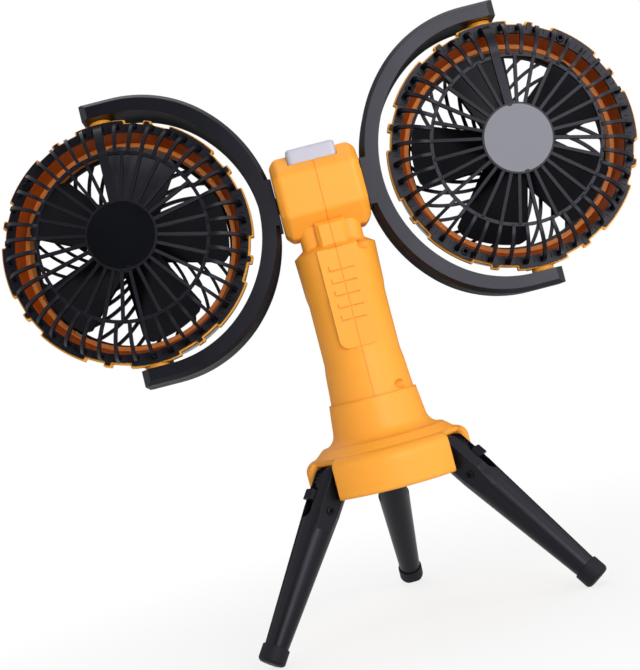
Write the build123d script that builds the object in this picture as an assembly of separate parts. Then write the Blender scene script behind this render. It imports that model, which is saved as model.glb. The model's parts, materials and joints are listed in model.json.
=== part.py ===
from build123d import *
import os
from math import cos, degrees, radians, sin, sqrt

# Twin-head camping fan on a folding tripod, in millimetres, +Z up.
# The fans face +Y, so their domed rear guards face -Y. Left is -X and right is +X.

# Clearances
RUN = 0.05              # radial play of a shaft in its hole
SLIP = 0.1              # play of a piece that is dropped into a pocket
GAP = 0.3               # play between faces that move past each other
PAST = 2.0              # how far a cutter runs past the wall that it cuts

# Tripod legs
LEG_LENGTH = 112.7      # hinge axis to the sole of the foot
LEG_SPREAD = 37.7       # degrees from vertical with the legs spread
LEG_DIRECTIONS = {"front_left": 210.0, "front_right": 330.0, "rear": 90.0}
LEG_TOP_R = 11.2
LEG_LOW_R = 7.2
LEG_TAPER_START = 18.0  # below the hinge axis
CHEEK_W = 19.0          # across the two flats at the top of a leg
FLAT_LENGTH = 30.0      # how far the flats run down from the hinge axis
HINGE_R = 45.5          # hinge axis to the body axis
PIN_R = 2.5
CAP_R = 8.3
CAP_LENGTH = 10.4
CAP_EDGE = 2.5
CAP_LIP = 0.6           # rounding at the cap's upper edge
SOLE_T = 3.2
SOLE_FLAT = 1.9         # corner of the foot that is cut away flat on the floor

# Knuckle and latch of a leg
DRUM_R = 9.0
DRUM_W = 8.6
DRUM_TEETH = 9
DRUM_TOOTH = 1.0
DRUM_ARC = 130.0        # arc of ridges, degrees, from straight up outwards
TENON_LENGTH = 18.5     # from the hinge axis into the hub
TENON_UP = 6.0
TENON_DOWN = 3.0
LATCH_TRAVEL = 5.0
LATCH_BODY = 4.5        # height of the block below the drum
LATCH_TAB = 6.6         # height of the thumb tab beside the drum
LATCH_TAB_T = 3.0
TAIL_R = 2.2
TAIL_LENGTH = 12.5
SPRING_R = 2.7
SPRING_BORE_R = 1.9
SPRING_LENGTH = 18.8
MOUTH_ROOM = 1.2        # left below the latch at the end of its travel
MOUTH_FLOOR_X = -1.0    # floor of the mouth, outwards of the leg's axis
TAIL_X = 4.4            # latch's tail, outwards of the leg's axis
LEG_SCREW_DOWN = 17.2   # screw on each flat, below the hinge axis
LEG_SCREW_X = -0.5      # and inwards of the leg's axis
LEG_SCREW_HEAD_R = 2.6
LEG_SCREW_HEAD_T = 1.0
LEG_SCREW_R = 1.2
LEG_SCREW_LENGTH = 3.6

# Tripod hub
HUB_R = 52.5
HUB_WALL = 2.5
HUB_BELOW_HINGE = 9.65
BASE_T = 4.5
BASE_EDGE = 2.0
SLOT_W = 25.0
SLOT_ROOM = 0.7         # between a leg's eye and its slot
LOBE_CORNER = 4.8       # rounding of the lobes beside each slot
LOBE_WALL = 13.3        # height of the upright lobe wall above the base plate
LOBE_ROUND = 7.0
LOBE_RISE = 7.0         # from the lobe's rim up to the foot of the collar
COLLAR_R = 28.25
COLLAR_FOOT_R = 30.2
COLLAR_WALL = 1.35
COLLAR_HEIGHT = 24.0
COLLAR_SWEEP = 9.0      # radius of the hollow curve from collar to lobes
SWEEP_DOWN = 1.8        # from the collar's foot down to the curve's outer end
SWEEP_UP = 6.3          # and up to its inner end
CUP_FLOOR_T = 3.5
HUB_SCREW_R = 40.0      # pitch radius of the screws in the base plate

# Body: grip, neck and head
GRIP_ABOVE_COLLAR = 94.8    # collar top to the grip's shoulder
GRIP_TOP_R = 26.4
GRIP_WAIST_R = 24.7
GRIP_STEP_R = 25.5      # above and below the waist
WAIST_TOP = 25.0        # below the shoulder
WAIST_LENGTH = 38.0
WAIST_STEP = 6.0        # height of the slope into the waist
SHOULDER_RISE = 4.6
SHOULDER_IN = 6.6
NECK_W = 39.4
NECK_D = 34.0
NECK_CORNER = 8.0
HEAD_ABOVE_SHOULDER = 36.5  # shoulder to the fan axis
HEAD_RAISE = 1.3        # head's middle above the fan axis
HEAD_HALF_W = 27.9
HEAD_HALF_D = 25.0
HEAD_HALF_H = 26.3
HEAD_BEVEL = 12.9
HEAD_END_BEVEL = 4.2
HEAD_EDGE = 4.5
SHELL_T = 2.4
SPINE_W = 19.0
SPINE_D = 22.4          # body axis to the rear of the spine
PANEL_W = 24.4
PANEL_D = 25.2          # body axis to the face of the rear panel
PANEL_LENGTH = 63.0
PANEL_CORNER = 6.0
SEAM_W = 0.5            # groove along the joint of the two shells
SEAM_DEEP = 0.5
GROOVE_COUNT = 5
GROOVE_W = 16.0
GROOVE_PITCH = 7.8
GROOVE_FIRST = 13.8     # below the shoulder
GROOVE_T = 0.8
GROOVE_DEEP = 0.7
GROOVE_TICK = 2.6       # upright stroke at the left end of each groove
CELL_R = 9.1
CELL_LENGTH = 65.0
CELL_FLOOR = 10.8       # collar top to the shelf that the cells stand on
SHELF_T = 2.0

# Screws through the two body shells
BODY_SCREW_HEAD_R = 2.75
BODY_SCREW_HEAD_T = 2.2
BODY_SCREW_R = 1.25
BODY_SCREW_DEEP = 7.5
BODY_SCREW_SEAT = 6.0   # split plane to the seat of the screw head
BODY_BOSS_R = 4.4
HEAD_SCREW_Y = 18.5
HEAD_SCREW_UP = 10.0    # above the fan axis
GRIP_SCREW_Y = 19.5
SHOULDER_SCREW_DOWN = 1.8
COLLAR_SCREW_UP = 3.4

# Lamp on top of the head
LAMP_W = 31.4
LAMP_D = 38.0
LAMP_BELOW_TOP = 7.3    # lamp's foot below the head's top
LAMP_ABOVE_TOP = 2.7
LAMP_WALL = 1.8
LAMP_CORNER = 3.0
LAMP_EDGE = 2.0
LAMP_TRAY_T = 2.0
BOARD_T = 1.6
LED_SIZE = 3.0
LED_T = 0.8

# Control board, buttons and charging port behind the head's front face
BOARD_W = 38.0
BOARD_H = 26.5
BOARD_BACK = 12.4       # body axis to the rear of the board
STANDOFF_R = 2.5
STANDOFF_X = 16.8
STANDOFF_Z = 11.2
BUTTON_X = 11.0
BUTTON_DROP = 4.0       # below the fan axis
BUTTON_R = 4.5
BUTTON_PROUD = 1.6
BUTTON_EDGE = 0.8
BUTTON_FLANGE_R = 6.0
BUTTON_STEM_R = 2.2
BUTTON_FLANGE_T = 1.5
BUTTON_TRAVEL = 0.8
SWITCH_SIZE = 6.0
SWITCH_T = 3.5
PORT_W = 9.0
PORT_H = 3.2
PORT_WALL = 0.5
PORT_DROP = 9.0
PORT_RECESS = 0.8

# Fan heads, measured from the yoke's mid-plane towards the rear
DUCT_R = 64.8
DUCT_WALL = 1.8
LEDGE_W = 2.8           # flat ledge between the duct's cone and its straight bore
DUCT_FLARE = 3.2        # how much the cone widens towards the rear guard
FLANGE_W = 6.6          # duct's mouth to the low parts of the rim
RIM_STEP = 2.3          # height of the lobes and tabs on the rim
RIM_CORNER = 0.8
LOBE_COUNT = 8
LOBE_ANGLE = 24.0
TAB_ANGLE = 4.0
SEAT_REAR = 6.5         # shoulder that the rear guard's band lies on
FLANGE_T = 4.5
DUCT_LEDGE = 5.0        # ledge at the foot of the cone, in front of the mid-plane
HEAD_FRONT = 22.0       # mid-plane to the front of the duct
PIVOT_BOSS_W = 18.0
PIVOT_BOSS_FRONT = 8.0
PIVOT_SEAT_SINK = 0.5   # flat under each pivot's collar, below the rim
PIVOT_R = 4.0
PIVOT_COLLAR_R = 7.0
PIVOT_DEEP = 6.5
ARM_SKIN = 3.8          # left in the arm beyond its pivot
LIGHT_SET_IN = 2.0      # ring light inside the low parts of the rim
LIGHT_WALL = 1.7
LIGHT_EDGE = 1.3
LED_BOARD_W = 2.4
LED_BOARD_T = 1.2
LED_W = 1.8
LED_COUNT = 24
DUCT_LEDGE_R = DUCT_R + LEDGE_W
DUCT_MOUTH_R = DUCT_LEDGE_R + DUCT_FLARE
RIM_LOW_R = DUCT_MOUTH_R + FLANGE_W
RIM_HIGH_R = RIM_LOW_R + RIM_STEP
PIVOT_SEAT = RIM_HIGH_R - PIVOT_SEAT_SINK
LIGHT_OUT_R = RIM_LOW_R - LIGHT_SET_IN

# Yokes
YOKE_CLEAR = 5.5        # rim to the inside of the C
YOKE_T = 11.3
YOKE_PAD_PROUD = 0.4    # pad that faces the head, beyond the yoke's curve
YOKE_PAD_W = 30.0
YOKE_DEPTH = 29.0
YOKE_WALL = 2.2
YOKE_BEVEL = 2.6
YOKE_END_BEVEL = 4.4
ARM_CLEAR = 2.3         # rim to the inner face of each straight arm
ARM_T = 10.2
ARM_END = 10.0          # how far the arms run past the fan axis
OUT_BLEND_STEP = 15.6   # large curves between the C and its straight arms, tighter than the C
IN_BLEND_STEP = 13.8
ARM_SOLID = 14.0        # solid stretch round the arm's pivot
PAD_SOLID = 18.0        # half length of the solid stretch behind the pad
YOKE_SCREW_R = 1.3
YOKE_SCREW_HEAD_R = 2.6
YOKE_SCREW_HEAD_T = 2.0
PAD_SCREW_Z = 11.0
ARM_SCREW_X = 8.6
REST_TILT = {"left": -5.0, "right": 0.0}   # how the yokes stand on their shafts at rest, degrees
HEAD_TO_YOKE = 0.5      # head's side to the yoke's pad
TUBE_R = 5.5            # hollow shaft between the head and a yoke
TUBE_BORE_R = 3.6
TUBE_IN_YOKE = 9.0
TUBE_COLLAR_R = 7.2
TUBE_COLLAR_T = 2.0
TUBE_FLANGE_R = 8.5
TUBE_FLANGE_T = 2.0
HEAD_BOSS_R = 10.0
HEAD_BOSS_T = 5.0
YOKE_IN_R = RIM_HIGH_R + YOKE_CLEAR
YOKE_OUT_R = YOKE_IN_R + YOKE_T
ARM_IN = RIM_HIGH_R + ARM_CLEAR
ARM_OUT = ARM_IN + ARM_T
FAN_X = HEAD_HALF_W + HEAD_TO_YOKE + YOKE_PAD_PROUD + YOKE_OUT_R

# Rear guard
BAND_STEP = 0.4         # duct's mouth to the inside of the band
BAND_SET_IN = 1.1       # band's outline inside the rim's
BAND_REAR = 9.0
GUARD_SCREW_IN = 3.0    # inside of the band to the screws
GUARD_SCREW_HEAD_R = 2.6
GUARD_SCREW_HEAD_T = 1.4
GUARD_SCREW_SHANK_R = 1.2
OUTER_RIBS = 42
INNER_RIBS = 28
RIB_W = 2.1
RIB_DEEP = 2.8
RIB_SET_IN = 1.2        # outer face of the ribs inside the low parts of the rim
RIB_BEND_R = 18.2       # radius of the arch from the band over to the middle ring
RIB_BEND_UP = 1.2       # centre of the arch above the band
RIB_FOOT_W = 3.2        # thicker foot of each outer rib
RIB_FOOT_LENGTH = 3.4
RIB_FOOT_UP = 3.0
CHANNEL_W = 5.4         # wide rib that carries the motor's leads
MID_RING_IN = 5.0       # middle ring inside the centre of the arch
MID_RING_W = 2.2
MID_RING_SINK = 0.9     # middle ring below the backs of the ribs
HUB_DISC_R = 22.3
LABEL_R = 20.7
HUB_REAR = 31.0
LABEL_SINK = 0.5
HUB_T = 3.0
GUARD_SCREW_GAPS = (5.5, 16.5, 26.5, 37.5)   # counted in gaps between outer ribs
BAND_IN_R = DUCT_MOUTH_R + BAND_STEP
GUARD_SCREW_R = BAND_IN_R + GUARD_SCREW_IN
RIB_ROOT_R = RIM_LOW_R - RIB_SET_IN

# Motor, shaft and impeller
MOTOR_R = 18.0
MOTOR_EDGE = 1.5
MOTOR_LENGTH = 19.0
MOTOR_CUP_WALL = 2.2
MOTOR_CUP_DEEP = 14.0
SHAFT_R = 1.5
BLADES = 5
BLADE_CLEAR = 1.8       # blade tips to the duct
BLADE_T = 2.0
HUB_CAP_R = 16.5
HUB_CAP_EDGE = 2.7
ROTOR_GAP = 1.5         # motor to impeller
HUB_CAP_T = 19.0
BLADE_ROOT_CHORD = 31.0
BLADE_TIP_CHORD = 50.0
BLADE_ROOT_PITCH = 36.0
BLADE_TIP_PITCH = 19.0
BLADE_TIP_ROUND = 14.0
ROTOR_TURN = {"left": -2.5, "right": 27.5}   # how the blades stand at rest, degrees
BLADE_TIP_R = DUCT_R - BLADE_CLEAR

# Front guard
FRONT_RIBS = 30
FRONT_RIB_W = 2.1
FRONT_T = 2.6
FRONT_RIM_W = 2.2
FRONT_HUB_R = 19.0
FRONT_SWEEP = 55.0      # how far round a rib turns from the rim to the hub, degrees
FRONT_SET_BACK = 1.0

# Heights above the floor, from the foot up
HINGE_Z = (LEG_LENGTH * cos(radians(LEG_SPREAD)) + CAP_R * sin(radians(LEG_SPREAD)) - SOLE_FLAT)
BASE_Z = HINGE_Z - HUB_BELOW_HINGE
HUB_Z = BASE_Z + BASE_T
LOBE_Z = HUB_Z + LOBE_WALL + LOBE_ROUND
COLLAR_FOOT_Z = LOBE_Z + LOBE_RISE
COLLAR_Z = COLLAR_FOOT_Z + COLLAR_HEIGHT
SHOULDER_Z = COLLAR_Z + GRIP_ABOVE_COLLAR
FAN_Z = SHOULDER_Z + HEAD_ABOVE_SHOULDER
CUP_FLOOR_Z = COLLAR_FOOT_Z
HEAD_Z = FAN_Z + HEAD_RAISE
HEAD_TOP_Z = HEAD_Z + HEAD_HALF_H


def cyl_z(r, z0, z1, x=0.0, y=0.0):
    """Upright cylinder between two heights."""
    return Pos(x, y, (z0 + z1) / 2) * Cylinder(r, z1 - z0)


def cyl_x(r, x0, x1, y=0.0, z=0.0):
    """Cylinder along X."""
    return Pos((x0 + x1) / 2, y, z) * Rot(0, 90, 0) * Cylinder(r, x1 - x0)


def cyl_y(r, y0, y1, x=0.0, z=0.0):
    """Cylinder along Y."""
    return Pos(x, (y0 + y1) / 2, z) * Rot(90, 0, 0) * Cylinder(r, y1 - y0)


def block(x0, x1, y0, y1, z0, z1):
    """Box between two corners."""
    return Pos((x0 + x1) / 2, (y0 + y1) / 2, (z0 + z1) / 2) * Box(x1 - x0, y1 - y0, z1 - z0)


def ring(r_out, r_in, z0, z1):
    """Flat-ended tube about Z."""
    return cyl_z(r_out, z0, z1) - cyl_z(r_in, z0 - PAST, z1 + PAST)


def turned(points):
    """Solid of revolution about Z from (radius, height) points."""
    return revolve(Plane.XZ * make_face(Polyline(*points, close=True)), Axis.Z)


# Feet and legs, drawn hanging straight down from the hinge with +X outwards

def placed_leg(part, direction):
    """Leg piece swung out to its spread pose and set on its side of the hub."""
    return Rot(0, 0, direction) * Pos(HINGE_R, 0, HINGE_Z) * Rot(0, -LEG_SPREAD, 0) * part


LATCH_TOP = DRUM_R + DRUM_TOOTH / 2 + GAP
LATCH_FOOT = LATCH_TOP + LATCH_BODY
MOUTH_W = DRUM_W + 2 * GAP
MOUTH_STRAIGHT = LATCH_FOOT + LATCH_TRAVEL + MOUTH_ROOM
TAIL_FOOT = LATCH_FOOT + TAIL_LENGTH
SPRING_FOOT = TAIL_FOOT + SPRING_LENGTH
LEG_FOOT = LEG_LENGTH - SOLE_T
CAP_TOP = LEG_LENGTH - CAP_LENGTH


def make_leg():
    """Tapered leg with two flat cheeks, a slot for the knuckle and a mouth for the latch."""
    outline = [
        (0, 0),
        (LEG_TOP_R, 0),
        (LEG_TOP_R, -LEG_TAPER_START),
        (LEG_LOW_R, -CAP_TOP),
        (LEG_LOW_R, -LEG_FOOT),
        (0, -LEG_FOOT),
    ]
    leg = turned(outline)
    eye = cyl_z(LEG_TOP_R, -LEG_TOP_R, LEG_TOP_R) & cyl_y(LEG_TOP_R, -LEG_TOP_R, LEG_TOP_R)
    leg += eye
    reach = LEG_TOP_R + PAST
    for side in (-1, 1):
        y0, y1 = sorted((side * CHEEK_W / 2, side * reach))
        leg -= block(-reach, reach, y0, y1, -FLAT_LENGTH, reach)
    half = MOUTH_W / 2
    leg -= block(-reach, reach, -half, half, -TENON_DOWN - SLIP - GAP, reach)
    leg -= cyl_y(LATCH_TOP, -half, half)
    leg -= block(MOUTH_FLOOR_X, reach, -half, half, -MOUTH_STRAIGHT, 0)
    leg -= cyl_x(half, MOUTH_FLOOR_X, reach, 0, -MOUTH_STRAIGHT)
    leg -= cyl_z(SPRING_R + GAP, -SPRING_FOOT - SLIP, -MOUTH_STRAIGHT, TAIL_X)
    leg -= cyl_y(PIN_R + RUN, -reach, reach)
    for side in (-1, 1):
        y0, y1 = sorted((side * (CHEEK_W / 2 - LEG_SCREW_LENGTH - SLIP), side * reach))
        leg -= cyl_y(LEG_SCREW_R + RUN, y0, y1, LEG_SCREW_X, -LEG_SCREW_DOWN)
    return leg


def make_leg_screws():
    """One short screw in each flat of a leg."""
    screws = []
    for side in (-1, 1):
        face = side * CHEEK_W / 2
        y0, y1 = sorted((face, face + side * LEG_SCREW_HEAD_T))
        head = cyl_y(LEG_SCREW_HEAD_R, y0, y1, LEG_SCREW_X, -LEG_SCREW_DOWN)
        y0, y1 = sorted((face - side * LEG_SCREW_LENGTH, face))
        screws.append(head + cyl_y(LEG_SCREW_R, y0, y1, LEG_SCREW_X, -LEG_SCREW_DOWN))
    return screws


def make_latch():
    """Sprung block below the knuckle with a thumb tab beside it and a tail into the leg."""
    half = DRUM_W / 2
    face = LATCH_TOP + LATCH_TAB_T
    latch = block(MOUTH_FLOOR_X + GAP, face, -half, half, -LATCH_FOOT, -LATCH_TOP - SLIP)
    latch += block(LATCH_TOP + SLIP, face, -half, half, -LATCH_FOOT, LATCH_TAB - LATCH_FOOT)
    latch += cyl_z(TAIL_R, -TAIL_FOOT, -LATCH_FOOT, TAIL_X)
    return latch


def make_spring():
    """Coil spring under the latch's tail, as a plain sleeve of the coil's inner and outer radius."""
    return Pos(TAIL_X, 0, 0) * ring(SPRING_R, SPRING_BORE_R, -SPRING_FOOT, -TAIL_FOOT)


def make_cap():
    """Rubber cup over the end of a leg, rounded at the sole."""
    cup = cyl_z(CAP_R, -LEG_LENGTH, -CAP_TOP)
    cup = fillet(cup.edges().sort_by(Axis.Z)[0], CAP_EDGE)
    cup = fillet(cup.edges().sort_by(Axis.Z)[-1], CAP_LIP)
    return cup - cyl_z(LEG_LOW_R + RUN, -LEG_FOOT, -CAP_TOP + PAST)


def make_knuckle():
    """Ridged drum that a leg turns on, with a square tenon into the hub."""
    half = DRUM_W / 2
    drum = cyl_y(DRUM_R, -half, half)
    up = DRUM_TOOTH / 2
    tooth = block(DRUM_R - DRUM_TOOTH, DRUM_R + up, -half, half, -up, up)
    for i in range(DRUM_TEETH):
        drum += Rot(0, DRUM_ARC * i / (DRUM_TEETH - 1) - 90, 0) * tooth
    drum += block(-TENON_LENGTH, 0, -half, half, -TENON_DOWN, TENON_UP)
    drum -= cyl_y(PIN_R + RUN, -half - PAST, half + PAST)
    return Pos(HINGE_R, 0, HINGE_Z) * drum


def make_pin():
    """Steel hinge pin through a leg's cheeks and its knuckle."""
    return Pos(HINGE_R, 0, HINGE_Z) * cyl_y(PIN_R, -CHEEK_W / 2 + SLIP, CHEEK_W / 2 - SLIP)


# Tripod hub

SLOT_R = LEG_TOP_R + SLOT_ROOM
LOBE_DIRECTIONS = [direction + 60 for direction in LEG_DIRECTIONS.values()]


def leg_slot():
    """Cutter for one leg's slot: open outwards, arched over the leg's eye."""
    half = SLOT_W / 2
    out = HUB_R + PAST
    cut = block(HINGE_R - SLOT_R, HINGE_R, -half, half, BASE_Z - PAST, HINGE_Z)
    cut += cyl_y(SLOT_R, -half, half, HINGE_R, HINGE_Z)
    edge = sqrt(HUB_R ** 2 - half ** 2)
    wide = half + LOBE_CORNER
    lines = [Line((HINGE_R, -half), (HINGE_R, half)), Line((out, -wide), (out, wide))]
    for side in (-1, 1):
        lines.append(Line((HINGE_R, side * half), (edge - LOBE_CORNER, side * half)))
        lines.append(TangentArc((edge - LOBE_CORNER, side * half), (edge, side * wide), tangent=(1, 0)))
        lines.append(Line((edge, side * wide), (out, side * wide)))
    mouth = extrude(make_face(lines), COLLAR_FOOT_Z - BASE_Z + PAST)
    return cut + Pos(0, 0, BASE_Z - PAST) * mouth


def make_hub():
    """Cup for the grip on a three-lobed skirt, hollow below, with a slot for each leg."""
    corner = HUB_R - LOBE_ROUND
    with BuildPart() as outside:
        with BuildSketch(Plane.XZ):
            with BuildLine():
                wall = Line((HUB_R, HUB_Z), (HUB_R, HUB_Z + LOBE_WALL))
                top = RadiusArc(wall @ 1, (corner, LOBE_Z), -LOBE_ROUND)
                sweep_x = COLLAR_FOOT_R + COLLAR_SWEEP
                slope = Line(top @ 1, (sweep_x, COLLAR_FOOT_Z - SWEEP_DOWN))
                hollow = RadiusArc(slope @ 1, (COLLAR_FOOT_R, COLLAR_FOOT_Z + SWEEP_UP), COLLAR_SWEEP)
                Polyline(hollow @ 1, (COLLAR_R, COLLAR_Z), (0, COLLAR_Z), (0, HUB_Z), wall @ 0)
            make_face()
        revolve(axis=Axis.Z)
    hub = outside.part
    roof = LOBE_Z - HUB_WALL
    hollow_points = [
        (0, HUB_Z - PAST),
        (HUB_R - HUB_WALL, HUB_Z - PAST),
        (HUB_R - HUB_WALL, HUB_Z + LOBE_WALL - HUB_WALL / 2),
        (corner, roof),
        (COLLAR_FOOT_R + COLLAR_SWEEP, CUP_FLOOR_Z - CUP_FLOOR_T - HUB_WALL),
        (COLLAR_R, CUP_FLOOR_Z - CUP_FLOOR_T),
        (0, CUP_FLOOR_Z - CUP_FLOOR_T),
    ]
    inside = turned(hollow_points)
    wall_half = SLOT_W / 2 + HUB_WALL
    for direction in LEG_DIRECTIONS.values():
        inner_end = HINGE_R - TENON_LENGTH - HUB_WALL
        inside -= Rot(0, 0, direction) * block(inner_end, HUB_R, -wall_half, wall_half, 0, COLLAR_Z)
    for direction in LOBE_DIRECTIONS:
        inside -= Rot(0, 0, direction) * cyl_z(BODY_BOSS_R, HUB_Z - PAST, COLLAR_Z, HUB_SCREW_R)
    hub -= inside
    hub -= cyl_z(COLLAR_R - COLLAR_WALL, CUP_FLOOR_Z, COLLAR_Z + PAST)
    half = DRUM_W / 2 + SLIP
    for direction in LEG_DIRECTIONS.values():
        hub -= Rot(0, 0, direction) * leg_slot()
        pocket = block(
            HINGE_R - TENON_LENGTH - SLIP,
            HINGE_R,
            -half,
            half,
            HINGE_Z - TENON_DOWN - SLIP,
            HINGE_Z + TENON_UP + SLIP,
        )
        hub -= Rot(0, 0, direction) * pocket
    screw_top = HUB_Z + BODY_SCREW_DEEP + SLIP
    for direction in LOBE_DIRECTIONS:
        hub -= Rot(0, 0, direction) * cyl_z(BODY_SCREW_R + RUN, HUB_Z - PAST, screw_top, HUB_SCREW_R)
    return hub


def make_base():
    """Plate that closes the hub from below, with the same slots."""
    plate = cyl_z(HUB_R, BASE_Z, HUB_Z)
    plate = fillet(plate.edges().sort_by(Axis.Z)[0], BASE_EDGE)
    for direction in LEG_DIRECTIONS.values():
        plate -= Rot(0, 0, direction) * leg_slot()
    for direction in LOBE_DIRECTIONS:
        sink = cyl_z(BODY_SCREW_HEAD_R + GAP, BASE_Z - PAST, BASE_Z + BODY_SCREW_HEAD_T, HUB_SCREW_R)
        hole = cyl_z(BODY_SCREW_R + SLIP, BASE_Z - PAST, HUB_Z + PAST, HUB_SCREW_R)
        plate -= Rot(0, 0, direction) * (sink + hole)
    return plate


def make_hub_screws():
    """Screws that hold the base plate to the hub's bosses."""
    head = cyl_z(BODY_SCREW_HEAD_R, BASE_Z, BASE_Z + BODY_SCREW_HEAD_T, HUB_SCREW_R)
    screw = head + cyl_z(BODY_SCREW_R, BASE_Z, HUB_Z + BODY_SCREW_DEEP, HUB_SCREW_R)
    return [Rot(0, 0, direction) * screw for direction in LOBE_DIRECTIONS]


# Body shells

SCREW_PLACES = [
    (side * y, z)
    for side in (-1, 1)
    for y, z in (
        (HEAD_SCREW_Y, FAN_Z + HEAD_SCREW_UP),
        (GRIP_SCREW_Y, SHOULDER_Z - SHOULDER_SCREW_DOWN),
        (GRIP_SCREW_Y, COLLAR_Z + COLLAR_SCREW_UP),
    )
]
PLUG_R = COLLAR_R - COLLAR_WALL - SLIP
SHELF_Z = COLLAR_Z + CELL_FLOOR
LAMP_Z = HEAD_TOP_Z - LAMP_BELOW_TOP
NECK_TOP_Z = HEAD_Z - HEAD_HALF_H + HEAD_BEVEL / 2


def octagon_bar(inset):
    """Eight-sided bar along X with bevelled ends and soft edges, shrunk by inset."""
    d = HEAD_HALF_D - inset
    h = HEAD_HALF_H - inset
    step = inset * (2 - sqrt(2))
    cut = HEAD_BEVEL - step
    points = [(d, h - cut), (d - cut, h), (cut - d, h), (-d, h - cut)]
    points += [(-a, -b) for a, b in points]
    face = make_face(Polyline(*points, close=True))
    half = HEAD_HALF_W - inset
    bar = Pos(0, 0, HEAD_Z) * extrude(Plane.YZ * face, half, both=True)
    ends = bar.faces().sort_by(Axis.X)
    bar = chamfer(ends[0].edges() + ends[-1].edges(), HEAD_END_BEVEL - step)
    return fillet(bar.edges(), HEAD_EDGE - inset)


def grip_bar(inset):
    """Round grip with a shallow waist, from the cup's floor to the sloping shoulder, shrunk by inset."""
    low = CUP_FLOOR_Z + inset
    waist_z = SHOULDER_Z - WAIST_TOP
    foot_z = waist_z - WAIST_STEP - WAIST_LENGTH
    points = [
        (0, low),
        (PLUG_R - inset, low),
        (PLUG_R - inset, COLLAR_Z),
        (GRIP_STEP_R - inset, foot_z - WAIST_STEP),
        (GRIP_WAIST_R - inset, foot_z),
        (GRIP_WAIST_R - inset, waist_z - WAIST_STEP),
        (GRIP_STEP_R - inset, waist_z),
        (GRIP_TOP_R - inset, SHOULDER_Z - inset),
        (GRIP_TOP_R - SHOULDER_IN - inset, SHOULDER_Z + SHOULDER_RISE - inset),
        (0, SHOULDER_Z + SHOULDER_RISE - inset),
    ]
    return turned(points)


def neck_bar(inset):
    """Neck of rounded-rectangle section between grip and head."""
    outline = RectangleRounded(NECK_W - 2 * inset, NECK_D - 2 * inset, NECK_CORNER - inset)
    return Pos(0, 0, SHOULDER_Z) * extrude(outline, NECK_TOP_Z - SHOULDER_Z)


def rear_panel(inset):
    """Flat panel down the back of the grip, with rounded lower corners, shrunk by inset."""
    outline = Rectangle(PANEL_W, PANEL_LENGTH)
    outline = fillet(outline.vertices().sort_by(Axis.Y)[:2], PANEL_CORNER)
    outline = Pos(0, SHOULDER_Z - PANEL_LENGTH / 2) * outline
    return extrude(Plane.XZ * outline, PANEL_D - inset)


def body_solid(inset):
    """Outside of the whole body: head, neck, spine, grip and rear panel, shrunk by inset."""
    solid = octagon_bar(inset) + neck_bar(inset)
    spine_low = SHOULDER_Z - SHOULDER_RISE
    spine = block(-SPINE_W / 2, SPINE_W / 2, inset - SPINE_D, 0, spine_low, NECK_TOP_Z)
    solid += chamfer(spine.faces().sort_by(Axis.Y)[0].edges(), SHELL_T)
    panel = rear_panel(inset)
    over_panel = Pos(0, inset - PANEL_D, 0) * panel
    return solid + (grip_bar(inset) - over_panel) + panel


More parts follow.
